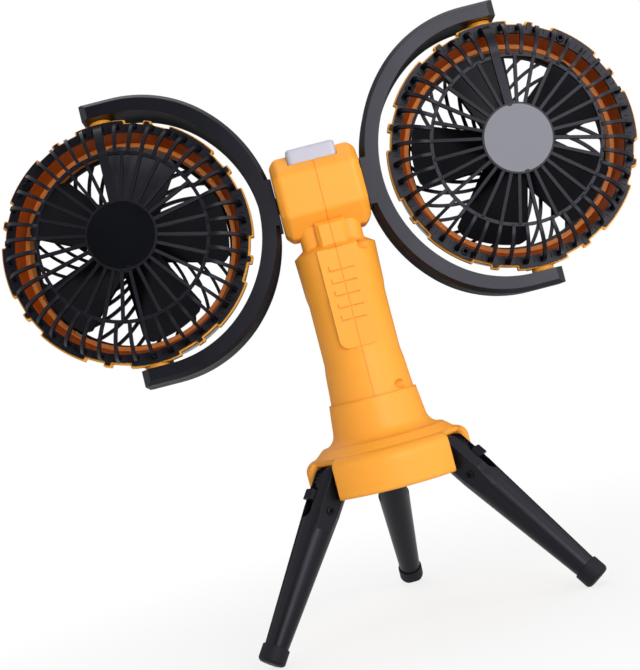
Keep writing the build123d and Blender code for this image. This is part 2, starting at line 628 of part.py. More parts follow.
def make_shells():
    """Both halves of the body, split on the plane X = 0."""
    solid = body_solid(0)
    seam = block(-SEAM_W / 2, SEAM_W / 2, -HEAD_HALF_W, HEAD_HALF_W, CUP_FLOOR_Z, HEAD_TOP_Z + PAST)
    solid -= seam - body_solid(SEAM_DEEP)
    half = GROOVE_W / 2
    open_y = -PANEL_D - PAST
    floor_y = GROOVE_DEEP - PANEL_D
    for i in range(GROOVE_COUNT):
        z = SHOULDER_Z - GROOVE_FIRST - i * GROOVE_PITCH
        solid -= block(-half, half, open_y, floor_y, z - GROOVE_T, z)
        solid -= block(-half, GROOVE_T - half, open_y, floor_y, z - GROOVE_T, z + GROOVE_TICK)

    tray_w = LAMP_W / 2 + SLIP + LAMP_TRAY_T
    tray_d = LAMP_D / 2 + SLIP + LAMP_TRAY_T
    tray = block(-tray_w, tray_w, -tray_d, tray_d, LAMP_Z - LAMP_TRAY_T, HEAD_TOP_Z)
    room = octagon_bar(SHELL_T) - tray
    for side in (-1, 1):
        x0, x1 = sorted((side * (HEAD_HALF_W - HEAD_BOSS_T), side * HEAD_HALF_W))
        room -= cyl_x(HEAD_BOSS_R, x0, x1, 0, FAN_Z)
        for z in (FAN_Z - STANDOFF_Z, FAN_Z + STANDOFF_Z):
            room -= cyl_y(STANDOFF_R, BOARD_BACK + BOARD_T, HEAD_HALF_D, side * STANDOFF_X, z)
    room += neck_bar(SHELL_T)
    room += grip_bar(SHELL_T) - cyl_z(GRIP_TOP_R, SHELF_Z - SHELF_T, SHELF_Z)
    for y, z in SCREW_PLACES:
        room -= cyl_x(BODY_BOSS_R, -BODY_SCREW_DEEP - SHELL_T, HEAD_HALF_W, y, z)
    solid -= room

    pocket_w = LAMP_W / 2 + SLIP
    pocket_d = LAMP_D / 2 + SLIP
    solid -= block(-pocket_w, pocket_w, -pocket_d, pocket_d, LAMP_Z, HEAD_TOP_Z + PAST)
    solid -= cyl_x(TUBE_R + RUN, -HEAD_HALF_W - PAST, HEAD_HALF_W + PAST, 0, FAN_Z) - cyl_x(
        HEAD_BOSS_R, -HEAD_HALF_W + HEAD_BOSS_T, HEAD_HALF_W - HEAD_BOSS_T, 0, FAN_Z
    )
    wall_in = HEAD_HALF_D - SHELL_T - SLIP
    for side in (-1, 1):
        solid -= cyl_y(BUTTON_R + SLIP, wall_in, HEAD_HALF_D + PAST, side * BUTTON_X, FAN_Z - BUTTON_DROP)
    port_x = PORT_W / 2 + SLIP
    port_z = PORT_H / 2 + SLIP
    z = FAN_Z - PORT_DROP
    solid -= block(-port_x, port_x, wall_in, HEAD_HALF_D + PAST, z - port_z, z + port_z)
    for y, z in SCREW_PLACES:
        solid -= cyl_x(BODY_SCREW_R + RUN, -BODY_SCREW_DEEP - SLIP, BODY_SCREW_SEAT + PAST, y, z)
        solid -= cyl_x(BODY_SCREW_HEAD_R + GAP, BODY_SCREW_SEAT, HEAD_HALF_W + PAST, y, z)
    reach = HEAD_HALF_W + PAST
    left = solid & block(-reach, 0, -reach, reach, 0, HEAD_TOP_Z + PAST)
    right = solid & block(0, reach, -reach, reach, 0, HEAD_TOP_Z + PAST)
    return left, right


def make_body_screws():
    """Screws that draw the two shells together."""
    screws = []
    for y, z in SCREW_PLACES:
        head = cyl_x(BODY_SCREW_HEAD_R, BODY_SCREW_SEAT, BODY_SCREW_SEAT + BODY_SCREW_HEAD_T, y, z)
        screws.append(head + cyl_x(BODY_SCREW_R, -BODY_SCREW_DEEP, BODY_SCREW_SEAT, y, z))
    return screws


def make_lamp_lens():
    """Hollow frosted cover of the lamp on top of the head."""
    height = LAMP_BELOW_TOP + LAMP_ABOVE_TOP
    lens = Pos(0, 0, LAMP_Z) * extrude(RectangleRounded(LAMP_W, LAMP_D, LAMP_CORNER), height)
    lens = fillet(lens.faces().sort_by(Axis.Z)[-1].edges(), LAMP_EDGE)
    hollow = RectangleRounded(LAMP_W - 2 * LAMP_WALL, LAMP_D - 2 * LAMP_WALL, LAMP_CORNER - LAMP_WALL / 2)
    return lens - Pos(0, 0, LAMP_Z) * extrude(hollow, height - LAMP_WALL)


def make_lamp_board():
    """Board with the lamp's LEDs, on the floor of the lamp's tray."""
    half_w = LAMP_W / 2 - LAMP_WALL - GAP
    half_d = LAMP_D / 2 - LAMP_WALL - GAP
    top = LAMP_Z + BOARD_T
    outline = RectangleRounded(2 * half_w, 2 * half_d, LAMP_CORNER)
    board = Pos(0, 0, LAMP_Z) * extrude(outline, BOARD_T)
    for x in (-half_w / 2, half_w / 2):
        for y in (-half_d * 2 / 3, 0, half_d * 2 / 3):
            board += Pos(x, y, top + LED_T / 2) * Box(LED_SIZE, LED_SIZE, LED_T)
    return board


def make_cells():
    """Four round cells standing in a square on the grip's shelf."""
    pitch = CELL_R + SLIP
    return [
        cyl_z(CELL_R, SHELF_Z, SHELF_Z + CELL_LENGTH, x * pitch, y * pitch)
        for x in (-1, 1)
        for y in (-1, 1)
    ]


def make_control_board():
    """Circuit board on the front standoffs, with a switch behind each button."""
    front = BOARD_BACK + BOARD_T
    board = block(-BOARD_W / 2, BOARD_W / 2, BOARD_BACK, front, FAN_Z - BOARD_H / 2, FAN_Z + BOARD_H / 2)
    for side in (-1, 1):
        switch = Box(SWITCH_SIZE, SWITCH_T, SWITCH_SIZE)
        board += Pos(side * BUTTON_X, front + SWITCH_T / 2, FAN_Z - BUTTON_DROP) * switch
    return board


def make_button(side):
    """Round push button with a flange behind the shell's wall and a stem towards its switch."""
    x = side * BUTTON_X
    z = FAN_Z - BUTTON_DROP
    wall_in = HEAD_HALF_D - SHELL_T
    flange_y = wall_in - GAP - BUTTON_FLANGE_T
    stem_y = BOARD_BACK + BOARD_T + SWITCH_T + BUTTON_TRAVEL + GAP
    button = cyl_y(BUTTON_R, flange_y, HEAD_HALF_D + BUTTON_PROUD, x, z)
    button = fillet(button.edges().sort_by(Axis.Y)[-1], BUTTON_EDGE)
    button += cyl_y(BUTTON_FLANGE_R, flange_y, flange_y + BUTTON_FLANGE_T, x, z)
    return button + cyl_y(BUTTON_STEM_R, stem_y, flange_y, x, z)


def make_port():
    """Charging socket on the control board, open to the front."""
    y0 = BOARD_BACK + BOARD_T
    y1 = HEAD_HALF_D - PORT_RECESS
    z = FAN_Z - PORT_DROP
    shell = block(-PORT_W / 2, PORT_W / 2, y0, y1, z - PORT_H / 2, z + PORT_H / 2)
    half_w = PORT_W / 2 - PORT_WALL
    half_h = PORT_H / 2 - PORT_WALL
    return shell - block(-half_w, half_w, y0 + PORT_H, y1 + PAST, z - half_h, z + half_h)


# Yokes, drawn in the rear view: +X towards the body, +Y up, +Z to the rear

YOKE_HALF = YOKE_DEPTH / 2
PAD_X = YOKE_OUT_R + YOKE_PAD_PROUD
TUBE_YOKE_END = PAD_X - TUBE_IN_YOKE


def yoke_outline(inset):
    """Flat C of the yoke with its two straight arms, shrunk by inset."""
    r_out = YOKE_OUT_R - inset
    r_in = YOKE_IN_R + inset
    arm_out = ARM_OUT - inset
    arm_in = ARM_IN + inset
    end = ARM_END - inset
    outer = Circle(r_out) & Rectangle(2 * r_out, 2 * arm_out)
    outer = fillet(outer.vertices(), YOKE_OUT_R - OUT_BLEND_STEP)
    inner = Circle(r_in) & Rectangle(2 * r_in, 2 * arm_in)
    inner = fillet(inner.vertices(), YOKE_IN_R - IN_BLEND_STEP)
    return outer - inner - Pos(-end - r_out, 0) * Rectangle(2 * r_out, 4 * r_out)


def make_yoke_half(rear):
    """Rear or front half of a yoke, hollow, with half of each pivot's bore."""
    half = extrude(yoke_outline(0), YOKE_HALF)
    top = half.faces().sort_by(Axis.Z)[-1]
    outside = [
        edge
        for edge in top.edges()
        if sqrt(edge.center().X ** 2 + edge.center().Y ** 2) > (ARM_IN + ARM_OUT) / 2
    ]
    outside = [edge for edge in outside if abs(edge.center().X + ARM_END) > SLIP]
    half = chamfer(outside, YOKE_BEVEL)
    past_end = -ARM_END - PAST
    past_top = YOKE_HALF + PAST
    wedge = [
        (past_end, YOKE_HALF - YOKE_END_BEVEL - PAST),
        (past_end, past_top),
        (-ARM_END + YOKE_END_BEVEL + PAST, past_top),
    ]
    half -= extrude(Plane.XZ * make_face(Polyline(*wedge, close=True)), YOKE_OUT_R, both=True)
    pad_half = YOKE_PAD_W / 2
    half += block(YOKE_IN_R + YOKE_WALL, PAD_X, -pad_half, pad_half, 0, YOKE_HALF)
    hollow = extrude(yoke_outline(YOKE_WALL), YOKE_HALF - YOKE_WALL)
    hollow -= block(0, PAD_X, -PAD_SOLID, PAD_SOLID, -PAST, YOKE_HALF)
    hollow -= block(-YOKE_OUT_R, ARM_SOLID, -YOKE_OUT_R, YOKE_OUT_R, -PAST, YOKE_HALF)
    half -= hollow
    half -= cyl_x(TUBE_R + RUN, TUBE_YOKE_END - SLIP, PAD_X + PAST)
    half -= cyl_x(TUBE_COLLAR_R + SLIP, TUBE_YOKE_END - SLIP, TUBE_YOKE_END + TUBE_COLLAR_T + SLIP)
    for side in (-1, 1):
        y0, y1 = sorted((side * (ARM_IN - PAST), side * (ARM_OUT - ARM_SKIN + GAP)))
        half -= cyl_y(PIVOT_R + RUN, y0, y1)
    for x, y in yoke_screw_places():
        if rear:
            half -= cyl_z(YOKE_SCREW_R + RUN, -PAST, BODY_SCREW_DEEP + SLIP, x, y)
        else:
            half -= cyl_z(YOKE_SCREW_R + SLIP, -PAST, YOKE_HALF + PAST, x, y)
            half -= cyl_z(YOKE_SCREW_HEAD_R + GAP, YOKE_HALF - YOKE_END_BEVEL, YOKE_HALF + PAST, x, y)
    return half if rear else mirror(half, Plane.XY)


def yoke_screw_places():
    """Two screws behind the pad and one beside each arm's pivot."""
    pad_x = (YOKE_IN_R + YOKE_OUT_R) / 2
    arm_y = (ARM_IN + ARM_OUT) / 2
    return [(pad_x, PAD_SCREW_Z), (pad_x, -PAD_SCREW_Z), (ARM_SCREW_X, arm_y), (ARM_SCREW_X, -arm_y)]


def make_yoke_screws():
    """Screws that enter a yoke from its front half."""
    seat = -YOKE_HALF + YOKE_END_BEVEL
    screws = []
    for x, y in yoke_screw_places():
        head = cyl_z(YOKE_SCREW_HEAD_R, seat - YOKE_SCREW_HEAD_T, seat, x, y)
        screws.append(head + cyl_z(YOKE_SCREW_R, seat, BODY_SCREW_DEEP, x, y))
    return screws


def make_tube():
    """Hollow shaft from a yoke's pad into the head, with a collar at one end and a flange at the other."""
    head_face = FAN_X - HEAD_HALF_W
    flange_x = head_face + HEAD_BOSS_T + GAP
    tube = cyl_x(TUBE_R, TUBE_YOKE_END, flange_x)
    tube += cyl_x(TUBE_COLLAR_R, TUBE_YOKE_END, TUBE_YOKE_END + TUBE_COLLAR_T)
    tube += cyl_x(TUBE_FLANGE_R, flange_x, flange_x + TUBE_FLANGE_T)
    return tube - cyl_x(TUBE_BORE_R, TUBE_YOKE_END - PAST, flange_x + TUBE_FLANGE_T + PAST)


# Fan heads, drawn about Z in the rear view: +Y up, +Z to the rear

BAND_T = BAND_REAR - SEAT_REAR
FLANGE_FRONT = SEAT_REAR - FLANGE_T
LEDGE_FRONT = -DUCT_LEDGE - DUCT_WALL
PERIOD = 360.0 / LOBE_COUNT
RIB_PITCH = 360.0 / OUTER_RIBS


def at(radius, angle):
    """Point at a radius and an angle from straight up, turning left."""
    return (-radius * sin(radians(angle)), radius * cos(radians(angle)))


def rim_outline(grow):
    """Round outline with broad lobes and a narrow tab between each two, grown by a margin."""
    low = RIM_LOW_R + grow
    high = RIM_HIGH_R + grow
    spread = degrees(grow / RIM_HIGH_R)
    lobe = LOBE_ANGLE / 2 + spread
    tab = TAB_ANGLE / 2 + spread
    edges = []
    for i in range(LOBE_COUNT):
        steps = [
            (high, -lobe, lobe),
            (low, lobe, PERIOD / 2 - tab),
            (high, PERIOD / 2 - tab, PERIOD / 2 + tab),
            (low, PERIOD / 2 + tab, PERIOD - lobe),
        ]
        for radius, start, stop in steps:
            start += i * PERIOD
            stop += i * PERIOD
            edges.append(ThreePointArc(at(radius, start), at(radius, (start + stop) / 2), at(radius, stop)))
            after = high if radius == low else low
            edges.append(Line(at(radius, stop), at(after, stop)))
    outline = make_face(edges)
    return fillet(outline.vertices(), RIM_CORNER)


def duct_outside():
    """Outer form of the duct: a cone below the flange, then a straight mouth to the front."""
    points = [
        (0, SEAT_REAR),
        (DUCT_MOUTH_R + DUCT_WALL, SEAT_REAR),
        (DUCT_MOUTH_R + DUCT_WALL, FLANGE_FRONT),
        (DUCT_LEDGE_R + DUCT_WALL, LEDGE_FRONT),
        (DUCT_R + DUCT_WALL, LEDGE_FRONT),
        (DUCT_R + DUCT_WALL, -HEAD_FRONT),
        (0, -HEAD_FRONT),
    ]
    return turned(points)


def duct_inside():
    """Air passage: a cone that ends at a flat ledge, then a straight bore to the front."""
    points = [
        (0, SEAT_REAR + PAST),
        (DUCT_MOUTH_R, SEAT_REAR + PAST),
        (DUCT_MOUTH_R, SEAT_REAR),
        (DUCT_LEDGE_R, -DUCT_LEDGE),
        (DUCT_R, -DUCT_LEDGE),
        (DUCT_R, -HEAD_FRONT - PAST),
        (0, -HEAD_FRONT - PAST),
    ]
    return turned(points)


def make_housing():
    """Fan ring: lobed flange for the rear guard, stepped duct and two pivot bosses."""
    housing = Pos(0, 0, FLANGE_FRONT) * extrude(rim_outline(0), FLANGE_T)
    housing += duct_outside()
    half = PIVOT_BOSS_W / 2
    for side in (-1, 1):
        y0, y1 = sorted((side * DUCT_R, side * RIM_HIGH_R))
        housing += block(-half, half, y0, y1, -PIVOT_BOSS_FRONT, SEAT_REAR)
    housing -= duct_inside()
    for side in (-1, 1):
        y0, y1 = sorted((side * PIVOT_SEAT, side * (RIM_HIGH_R + PAST)))
        housing -= block(-half, half, y0, y1, -PIVOT_BOSS_FRONT - PAST, SEAT_REAR + PAST)
        y0, y1 = sorted((side * (PIVOT_SEAT - PIVOT_DEEP), side * (PIVOT_SEAT + PAST)))
        housing -= cyl_y(PIVOT_R + RUN, y0, y1)
    for x, y in guard_screw_places():
        housing -= cyl_z(GUARD_SCREW_SHANK_R + RUN, FLANGE_FRONT - PAST, SEAT_REAR + PAST, x, y)
    return housing


def make_pivots():
    """Upper and lower pivot stubs that carry a fan ring in its yoke."""
    stubs = []
    for side in (-1, 1):
        inner = PIVOT_SEAT - PIVOT_DEEP
        outer = ARM_OUT - ARM_SKIN
        stub = cyl_y(PIVOT_R, *sorted((side * inner, side * outer)))
        stub += cyl_y(PIVOT_COLLAR_R, *sorted((side * PIVOT_SEAT, side * (ARM_IN - GAP))))
        stubs.append(stub)
    return stubs


def guard_screw_places():
    """Screws through the rear guard's band, midway between ribs."""
    return [at(GUARD_SCREW_R, gap * RIB_PITCH) for gap in GUARD_SCREW_GAPS]


def make_guard_screws():
    """Screws that hold the rear guard to the fan ring."""
    screws = []
    for x, y in guard_screw_places():
        head = cyl_z(GUARD_SCREW_HEAD_R, BAND_REAR, BAND_REAR + GUARD_SCREW_HEAD_T, x, y)
        screws.append(head + cyl_z(GUARD_SCREW_SHANK_R, FLANGE_FRONT + SLIP, BAND_REAR, x, y))
    return screws


BEND_X = RIB_ROOT_R - RIB_BEND_R
MID_RING_R = BEND_X - MID_RING_IN
BEND_Z = BAND_REAR + RIB_BEND_UP
MID_REAR = BEND_Z + sqrt(RIB_BEND_R ** 2 - (BEND_X - MID_RING_R) ** 2)


def arched_rib():
    """Side face (radius, height) of an outer rib: up from the band, then in an arch to the middle ring."""
    foot = SEAT_REAR + BAND_T / 2
    inner_r = RIB_BEND_R - RIB_DEEP
    mid_low = BEND_Z + sqrt(inner_r ** 2 - (BEND_X - MID_RING_R) ** 2)
    steep = cos(radians(45))
    back = ThreePointArc(
        (RIB_ROOT_R, BEND_Z),
        (BEND_X + RIB_BEND_R * steep, BEND_Z + RIB_BEND_R * steep),
        (MID_RING_R, MID_REAR),
    )
    belly = ThreePointArc(
        (RIB_ROOT_R - RIB_DEEP, BEND_Z),
        (BEND_X + inner_r * steep, BEND_Z + inner_r * steep),
        (MID_RING_R, mid_low),
    )
    lower = Polyline(belly @ 0, (RIB_ROOT_R - RIB_DEEP, foot), (RIB_ROOT_R, foot), back @ 0)
    return make_face([back, belly, *lower.edges(), Line(back @ 1, belly @ 1)])


def straight_rib():
    """Side face of an inner rib, from the middle ring to the hub."""
    inner_r = HUB_DISC_R - RIB_DEEP / 2
    hub_top = HUB_REAR - LABEL_SINK - SLIP
    points = [
        (inner_r, HUB_REAR - HUB_T + SLIP),
        (inner_r, hub_top),
        (MID_RING_R, MID_REAR),
        (MID_RING_R, MID_REAR - RIB_DEEP),
    ]
    return make_face(Polyline(*points, close=True))


def rib_foot():
    """Side face of the thicker foot where an outer rib stands on the band."""
    low = SEAT_REAR + BAND_T / 2
    r0 = RIB_ROOT_R - RIB_FOOT_LENGTH
    points = [
        (r0, low),
        (RIB_ROOT_R, low),
        (RIB_ROOT_R, BEND_Z),
        (RIB_ROOT_R - RIB_DEEP / 2, BAND_REAR + RIB_FOOT_UP),
        (r0, BAND_REAR),
    ]
    return make_face(Polyline(*points, close=True))


def rib(side_face, width, angle):
    """Upright rib with a given side face (radius, height), set at an angle from straight up."""
    return Rot(0, 0, 90 + angle) * extrude(Plane.XZ * side_face, width / 2, both=True)


def make_rear_guard():
    """Domed guard: lobed band, arched outer ribs on feet, sunk middle ring, inner ribs and motor hub."""
    band = Pos(0, 0, SEAT_REAR) * extrude(rim_outline(-BAND_SET_IN), BAND_T)
    band -= cyl_z(BAND_IN_R, SEAT_REAR - PAST, BAND_REAR + PAST)
    for x, y in guard_screw_places():
        band -= cyl_z(GUARD_SCREW_SHANK_R + SLIP, SEAT_REAR - PAST, BAND_REAR + PAST, x, y)
    half_w = MID_RING_W / 2
    mid = ring(MID_RING_R + half_w, MID_RING_R - half_w, MID_REAR - RIB_DEEP, MID_REAR - MID_RING_SINK)
    hub_low = HUB_REAR - HUB_T
    hub = cyl_z(HUB_DISC_R, hub_low, HUB_REAR) - cyl_z(LABEL_R, HUB_REAR - LABEL_SINK, HUB_REAR + PAST)
    cup_in = MOTOR_R + SLIP
    hub += ring(cup_in + MOTOR_CUP_WALL, cup_in, hub_low - MOTOR_CUP_DEEP, hub_low)
    ribs = []
    for i in range(OUTER_RIBS):
        width = CHANNEL_W if i == 0 else RIB_W
        ribs.append(rib(arched_rib(), width, i * RIB_PITCH))
        if i > 0:
            ribs.append(rib(rib_foot(), RIB_FOOT_W, i * RIB_PITCH))
    for i in range(INNER_RIBS):
        width = CHANNEL_W if i == 0 else RIB_W
        ribs.append(rib(straight_rib(), width, i * 360.0 / INNER_RIBS))
    return band.fuse(mid, hub, *ribs)


def spiral_rib(angle):
    """Front rib that curves from the rim round towards the hub, at a steady slant to the radius."""
    rim = DUCT_R - SLIP - FRONT_RIM_W / 2
    hub = FRONT_HUB_R - FRONT_RIB_W
    middle = sqrt(rim * hub)
    line = ThreePointArc(at(rim, angle), at(middle, angle + FRONT_SWEEP / 2), at(hub, angle + FRONT_SWEEP))
    return Pos(0, 0, -HEAD_FRONT + FRONT_SET_BACK) * extrude(trace(line, FRONT_RIB_W), FRONT_T)


def make_front_guard():
    """Flat guard of spiral ribs between a hub disc and a rim inside the duct's mouth."""
    z0 = -HEAD_FRONT + FRONT_SET_BACK
    rim_out = DUCT_R - SLIP
    rim = ring(rim_out, rim_out - FRONT_RIM_W, z0, z0 + FRONT_T)
    hub = cyl_z(FRONT_HUB_R, z0, z0 + FRONT_T)
    ribs = [spiral_rib(i * 360.0 / FRONT_RIBS) for i in range(FRONT_RIBS)]
    return rim.fuse(hub, *ribs)


def make_light_ring():
    """Frosted ring light round the duct, notched over the pivot bosses."""
    z0 = -HEAD_FRONT
    light = ring(LIGHT_OUT_R, DUCT_R + DUCT_WALL + SLIP, z0, FLANGE_FRONT)
    light -= ring(LIGHT_OUT_R - LIGHT_WALL, DUCT_R, z0 + LIGHT_WALL, FLANGE_FRONT + PAST)
    light = fillet(light.edges().sort_by(Axis.Z)[:2].sort_by(SortBy.LENGTH)[-1], LIGHT_EDGE)
    half = PIVOT_BOSS_W / 2 + GAP
    for side in (-1, 1):
        y0, y1 = sorted((side * DUCT_R, side * RIM_HIGH_R))
        light -= block(-half, half, y0, y1, -PIVOT_BOSS_FRONT - GAP, FLANGE_FRONT + PAST)
    return light


def make_led_board():
    """Two curved boards with the ring light's LEDs, flat under the duct's ledge."""
    r0 = DUCT_R + DUCT_WALL + SLIP
    z0 = LEDGE_FRONT - LED_BOARD_T
    boards = ring(r0 + LED_BOARD_W, r0, z0, LEDGE_FRONT)
    half = PIVOT_BOSS_W / 2 + GAP
    middle = r0 + LED_BOARD_W / 2
    for i in range(LED_COUNT):
        angle = (i + 0.5) * 360.0 / LED_COUNT
        led = Pos(middle, 0, z0 - LED_T / 2) * Box(LED_W, LED_SIZE, LED_T)
        boards += Rot(0, 0, angle) * led
    boards -= block(-half, half, -RIM_HIGH_R, RIM_HIGH_R, z0 - LED_T - PAST, LEDGE_FRONT + PAST)
    return boards.solids()


MOTOR_REAR = HUB_REAR - HUB_T
MOTOR_FRONT = MOTOR_REAR - MOTOR_LENGTH
CAP_REAR = MOTOR_FRONT - ROTOR_GAP
CAP_FRONT = CAP_REAR - HUB_CAP_T


def make_motor():
    """Motor can in the rear guard's cup, bored for its shaft."""
    can = cyl_z(MOTOR_R, MOTOR_FRONT, MOTOR_REAR)
    can = chamfer(can.edges().sort_by(Axis.Z)[0], MOTOR_EDGE)
    return can - cyl_z(SHAFT_R + RUN, MOTOR_FRONT - PAST, MOTOR_REAR - HUB_T)


def make_shaft():
    """Motor shaft, from inside the motor to inside the impeller's hub."""
    return cyl_z(SHAFT_R, CAP_FRONT + HUB_T, MOTOR_REAR - HUB_T - SLIP)


def blade_section(radius, chord, pitch):
    """Thin slanted strip across a blade, at a radius from the shaft."""
    strip = Rectangle(chord, BLADE_T)
    place = Plane(origin=(radius, 0, (CAP_REAR + CAP_FRONT) / 2), x_dir=(0, 1, 0), z_dir=(1, 0, 0))
    return place * Rot(0, 0, pitch) * strip


def make_impeller(turn):
    """Hub cap with five broad twisted blades, rounded at the tips."""
    cap = cyl_z(HUB_CAP_R, CAP_FRONT, CAP_REAR)
    cap = fillet(cap.edges().sort_by(Axis.Z)[0], HUB_CAP_EDGE)
    cap -= cyl_z(SHAFT_R + RUN, CAP_FRONT + HUB_T - SLIP, CAP_REAR + PAST)
    inner = HUB_CAP_R - BLADE_T
    outer = BLADE_TIP_R + PAST
    sections = [
        blade_section(inner, BLADE_ROOT_CHORD, BLADE_ROOT_PITCH),
        blade_section(outer, BLADE_TIP_CHORD, BLADE_TIP_PITCH),
    ]
    blade = loft(sections, ruled=True)
    tip_w = BLADE_TIP_CHORD * cos(radians(BLADE_TIP_PITCH))
    petal = Pos(BLADE_TIP_R / 2, 0) * RectangleRounded(BLADE_TIP_R, tip_w, BLADE_TIP_ROUND)
    petal &= Circle(BLADE_TIP_R)
    blade &= Pos(0, 0, CAP_FRONT - PAST) * extrude(petal, HUB_CAP_T + 2 * PAST)
    blades = [Rot(0, 0, turn + i * 360.0 / BLADES) * blade for i in range(BLADES)]
    return cap.fuse(*blades)


# Assembly

def rear_view(side):
    """Place of a head or yoke drawn in the rear view, on one side of the body."""
    return Plane(origin=(side * FAN_X, 0, FAN_Z), x_dir=(1, 0, 0), z_dir=(0, -1, 0)).location


def flipped(parts):
    """Pieces of the left yoke turned to the right one."""
    return [mirror(part, Plane.YZ) for part in parts]


def as_list(parts):
    """The solids of one piece or of a group of pieces."""
    parts = parts if isinstance(parts, (list, tuple, ShapeList)) else [parts]
    return [solid for part in parts for solid in part.solids()]


nodes = {}
left_shell, right_shell = make_shells()
nodes["body_shell_left"] = left_shell
nodes["body_shell_right"] = right_shell
nodes["body_screws"] = make_body_screws()
nodes["lamp_lens"] = make_lamp_lens()
nodes["lamp_board"] = make_lamp_board()
nodes["battery_cells"] = make_cells()
nodes["control_board"] = make_control_board()
nodes["charge_port"] = make_port()
nodes["fan_button"] = make_button(-1)
nodes["light_button"] = make_button(1)
nodes["tripod_hub"] = make_hub()
nodes["hub_base"] = make_base()
nodes["hub_screws"] = make_hub_screws()
nodes["leg_knuckles"] = [Rot(0, 0, d) * make_knuckle() for d in LEG_DIRECTIONS.values()]
nodes["leg_pins"] = [Rot(0, 0, d) * make_pin() for d in LEG_DIRECTIONS.values()]

below_floor = block(-2 * LEG_LENGTH, 2 * LEG_LENGTH, -2 * LEG_LENGTH, 2 * LEG_LENGTH, -LEG_LENGTH, 0)
leg_pieces = {
    "leg": [make_leg()],
    "foot_cap": [make_cap()],
    "latch": [make_latch()],
    "latch_spring": [make_spring()],
    "leg_screws": make_leg_screws(),
}
for place, direction in LEG_DIRECTIONS.items():
    for name, parts in leg_pieces.items():
        moved = [placed_leg(part, direction) for part in parts]
        if name == "foot_cap":
            moved = [part - below_floor for part in moved]
        nodes[name + "_" + place] = moved

yoke_pieces = {
    "yoke_rear_shell": [make_yoke_half(True)],
    "yoke_front_shell": [make_yoke_half(False)],
    "yoke_screws": make_yoke_screws(),
    "yoke_pivot": [make_tube()],
}
head_pieces = {
    "fan_housing": [make_housing()],
    "head_pivots": make_pivots(),
    "rear_grille": [make_rear_guard()],
    "grille_screws": make_guard_screws(),
    "front_grille": [make_front_guard()],
    "light_ring": [make_light_ring()],
    "led_board": make_led_board(),
    "motor": [make_motor()],
    "motor_shaft": [make_shaft()],
}
for side, word in ((-1, "left"), (1, "right")):
    spot = rear_view(side) * Rot(REST_TILT[word], 0, 0)
    for name, parts in yoke_pieces.items():
        drawn = parts if side < 0 else flipped(parts)
        nodes[name + "_" + word] = [spot * part for part in drawn]
    for name, parts in head_pieces.items():
        nodes[name + "_" + word] = [spot * part for part in parts]
    nodes["impeller_" + word] = [spot * make_impeller(ROTOR_TURN[word])]

# The origin lies on the floor, in the middle of the footprint of the feet
feet = Compound([solid for place in LEG_DIRECTIONS for solid in as_list(nodes["foot_cap_" + place])])
footprint = feet.bounding_box()
middle_y = (footprint.min.Y + footprint.max.Y) / 2
print("body axis at y =", round(-middle_y, 4))
print("fan axis at z =", round(FAN_Z, 4))
print("hinge z =", round(HINGE_Z, 4))

os.makedirs("parts", exist_ok=True)
for name, parts in nodes.items():
    solids = [Pos(0, -middle_y, 0) * solid for solid in as_list(parts)]
    shape = solids[0] if len(solids) == 1 else Compound(solids)
    export_step(shape, "parts/" + name + ".step")
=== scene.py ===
"""Looks of the twin-head tripod camping fan: finishes, small trim, stage and camera."""

import json
from math import cos, hypot, radians, sin, sqrt

import bmesh
import bpy
from bpy.props import FloatProperty, FloatVectorProperty, PointerProperty
from mathutils import Matrix, Vector


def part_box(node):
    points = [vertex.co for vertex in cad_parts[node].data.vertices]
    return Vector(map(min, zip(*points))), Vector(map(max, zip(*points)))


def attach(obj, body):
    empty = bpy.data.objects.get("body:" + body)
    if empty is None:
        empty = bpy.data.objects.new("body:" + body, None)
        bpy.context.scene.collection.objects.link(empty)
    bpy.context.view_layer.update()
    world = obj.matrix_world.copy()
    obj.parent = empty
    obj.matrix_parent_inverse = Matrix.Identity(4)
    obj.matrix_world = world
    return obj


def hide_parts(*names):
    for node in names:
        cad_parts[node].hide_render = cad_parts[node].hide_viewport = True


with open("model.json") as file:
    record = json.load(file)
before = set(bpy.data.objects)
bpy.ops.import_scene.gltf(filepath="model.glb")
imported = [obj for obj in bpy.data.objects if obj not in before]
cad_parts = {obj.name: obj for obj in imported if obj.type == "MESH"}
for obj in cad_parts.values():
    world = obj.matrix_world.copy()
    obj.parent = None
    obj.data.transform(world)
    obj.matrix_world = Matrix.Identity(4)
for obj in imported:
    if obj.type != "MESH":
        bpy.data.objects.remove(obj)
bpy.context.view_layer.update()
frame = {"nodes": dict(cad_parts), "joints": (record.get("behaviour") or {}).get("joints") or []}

bl_info = {
    "name": "Camping fan looks",
    "version": (1, 1, 0),
    "blender": (4, 5, 0),
    "location": "3D View > Sidebar > Fan",
    "description": "Finishes, trim and studio stage for the twin-head tripod camping fan",
    "category": "Object",
}

MM = 0.001
SIDES = ("left", "right")
LEGS = ("front_left", "front_right", "rear")
JOINTS = {joint["name"]: joint for joint in frame["joints"]}

# Rear guard in millimetres, from the fan axis and from the yoke's mid-plane towards the rear
BAND_REAR = 9.0
BAND_MIDDLE_R = 74.2
RIB_COUNT = 42
GUARD_SCREW_GAPS = (5, 16, 26, 37)
GUARD_SCREW_SHANK = 4.0
BEAD_LENGTH = 3.4
BEAD_TAPER = (0.5, 0.9, 1.0)

# Round labels in millimetres, towards the rear as above, and the fineness of their outlines
HUB_REAR = 31.0
LABEL_FLOOR = 30.5
LABEL_SEGMENTS = 240
PLUG_SEGMENTS = 120

# Fan ring in millimetres from the fan axis, where its painted shade and painted light change: end
# of the ledge, mouth of the cone, and rim
DUCT_LEDGE_R = 67.6
LEDGE_EDGE = 0.2
DUCT_MOUTH_R = 72.0
DUCT_RIM_R = 76.0

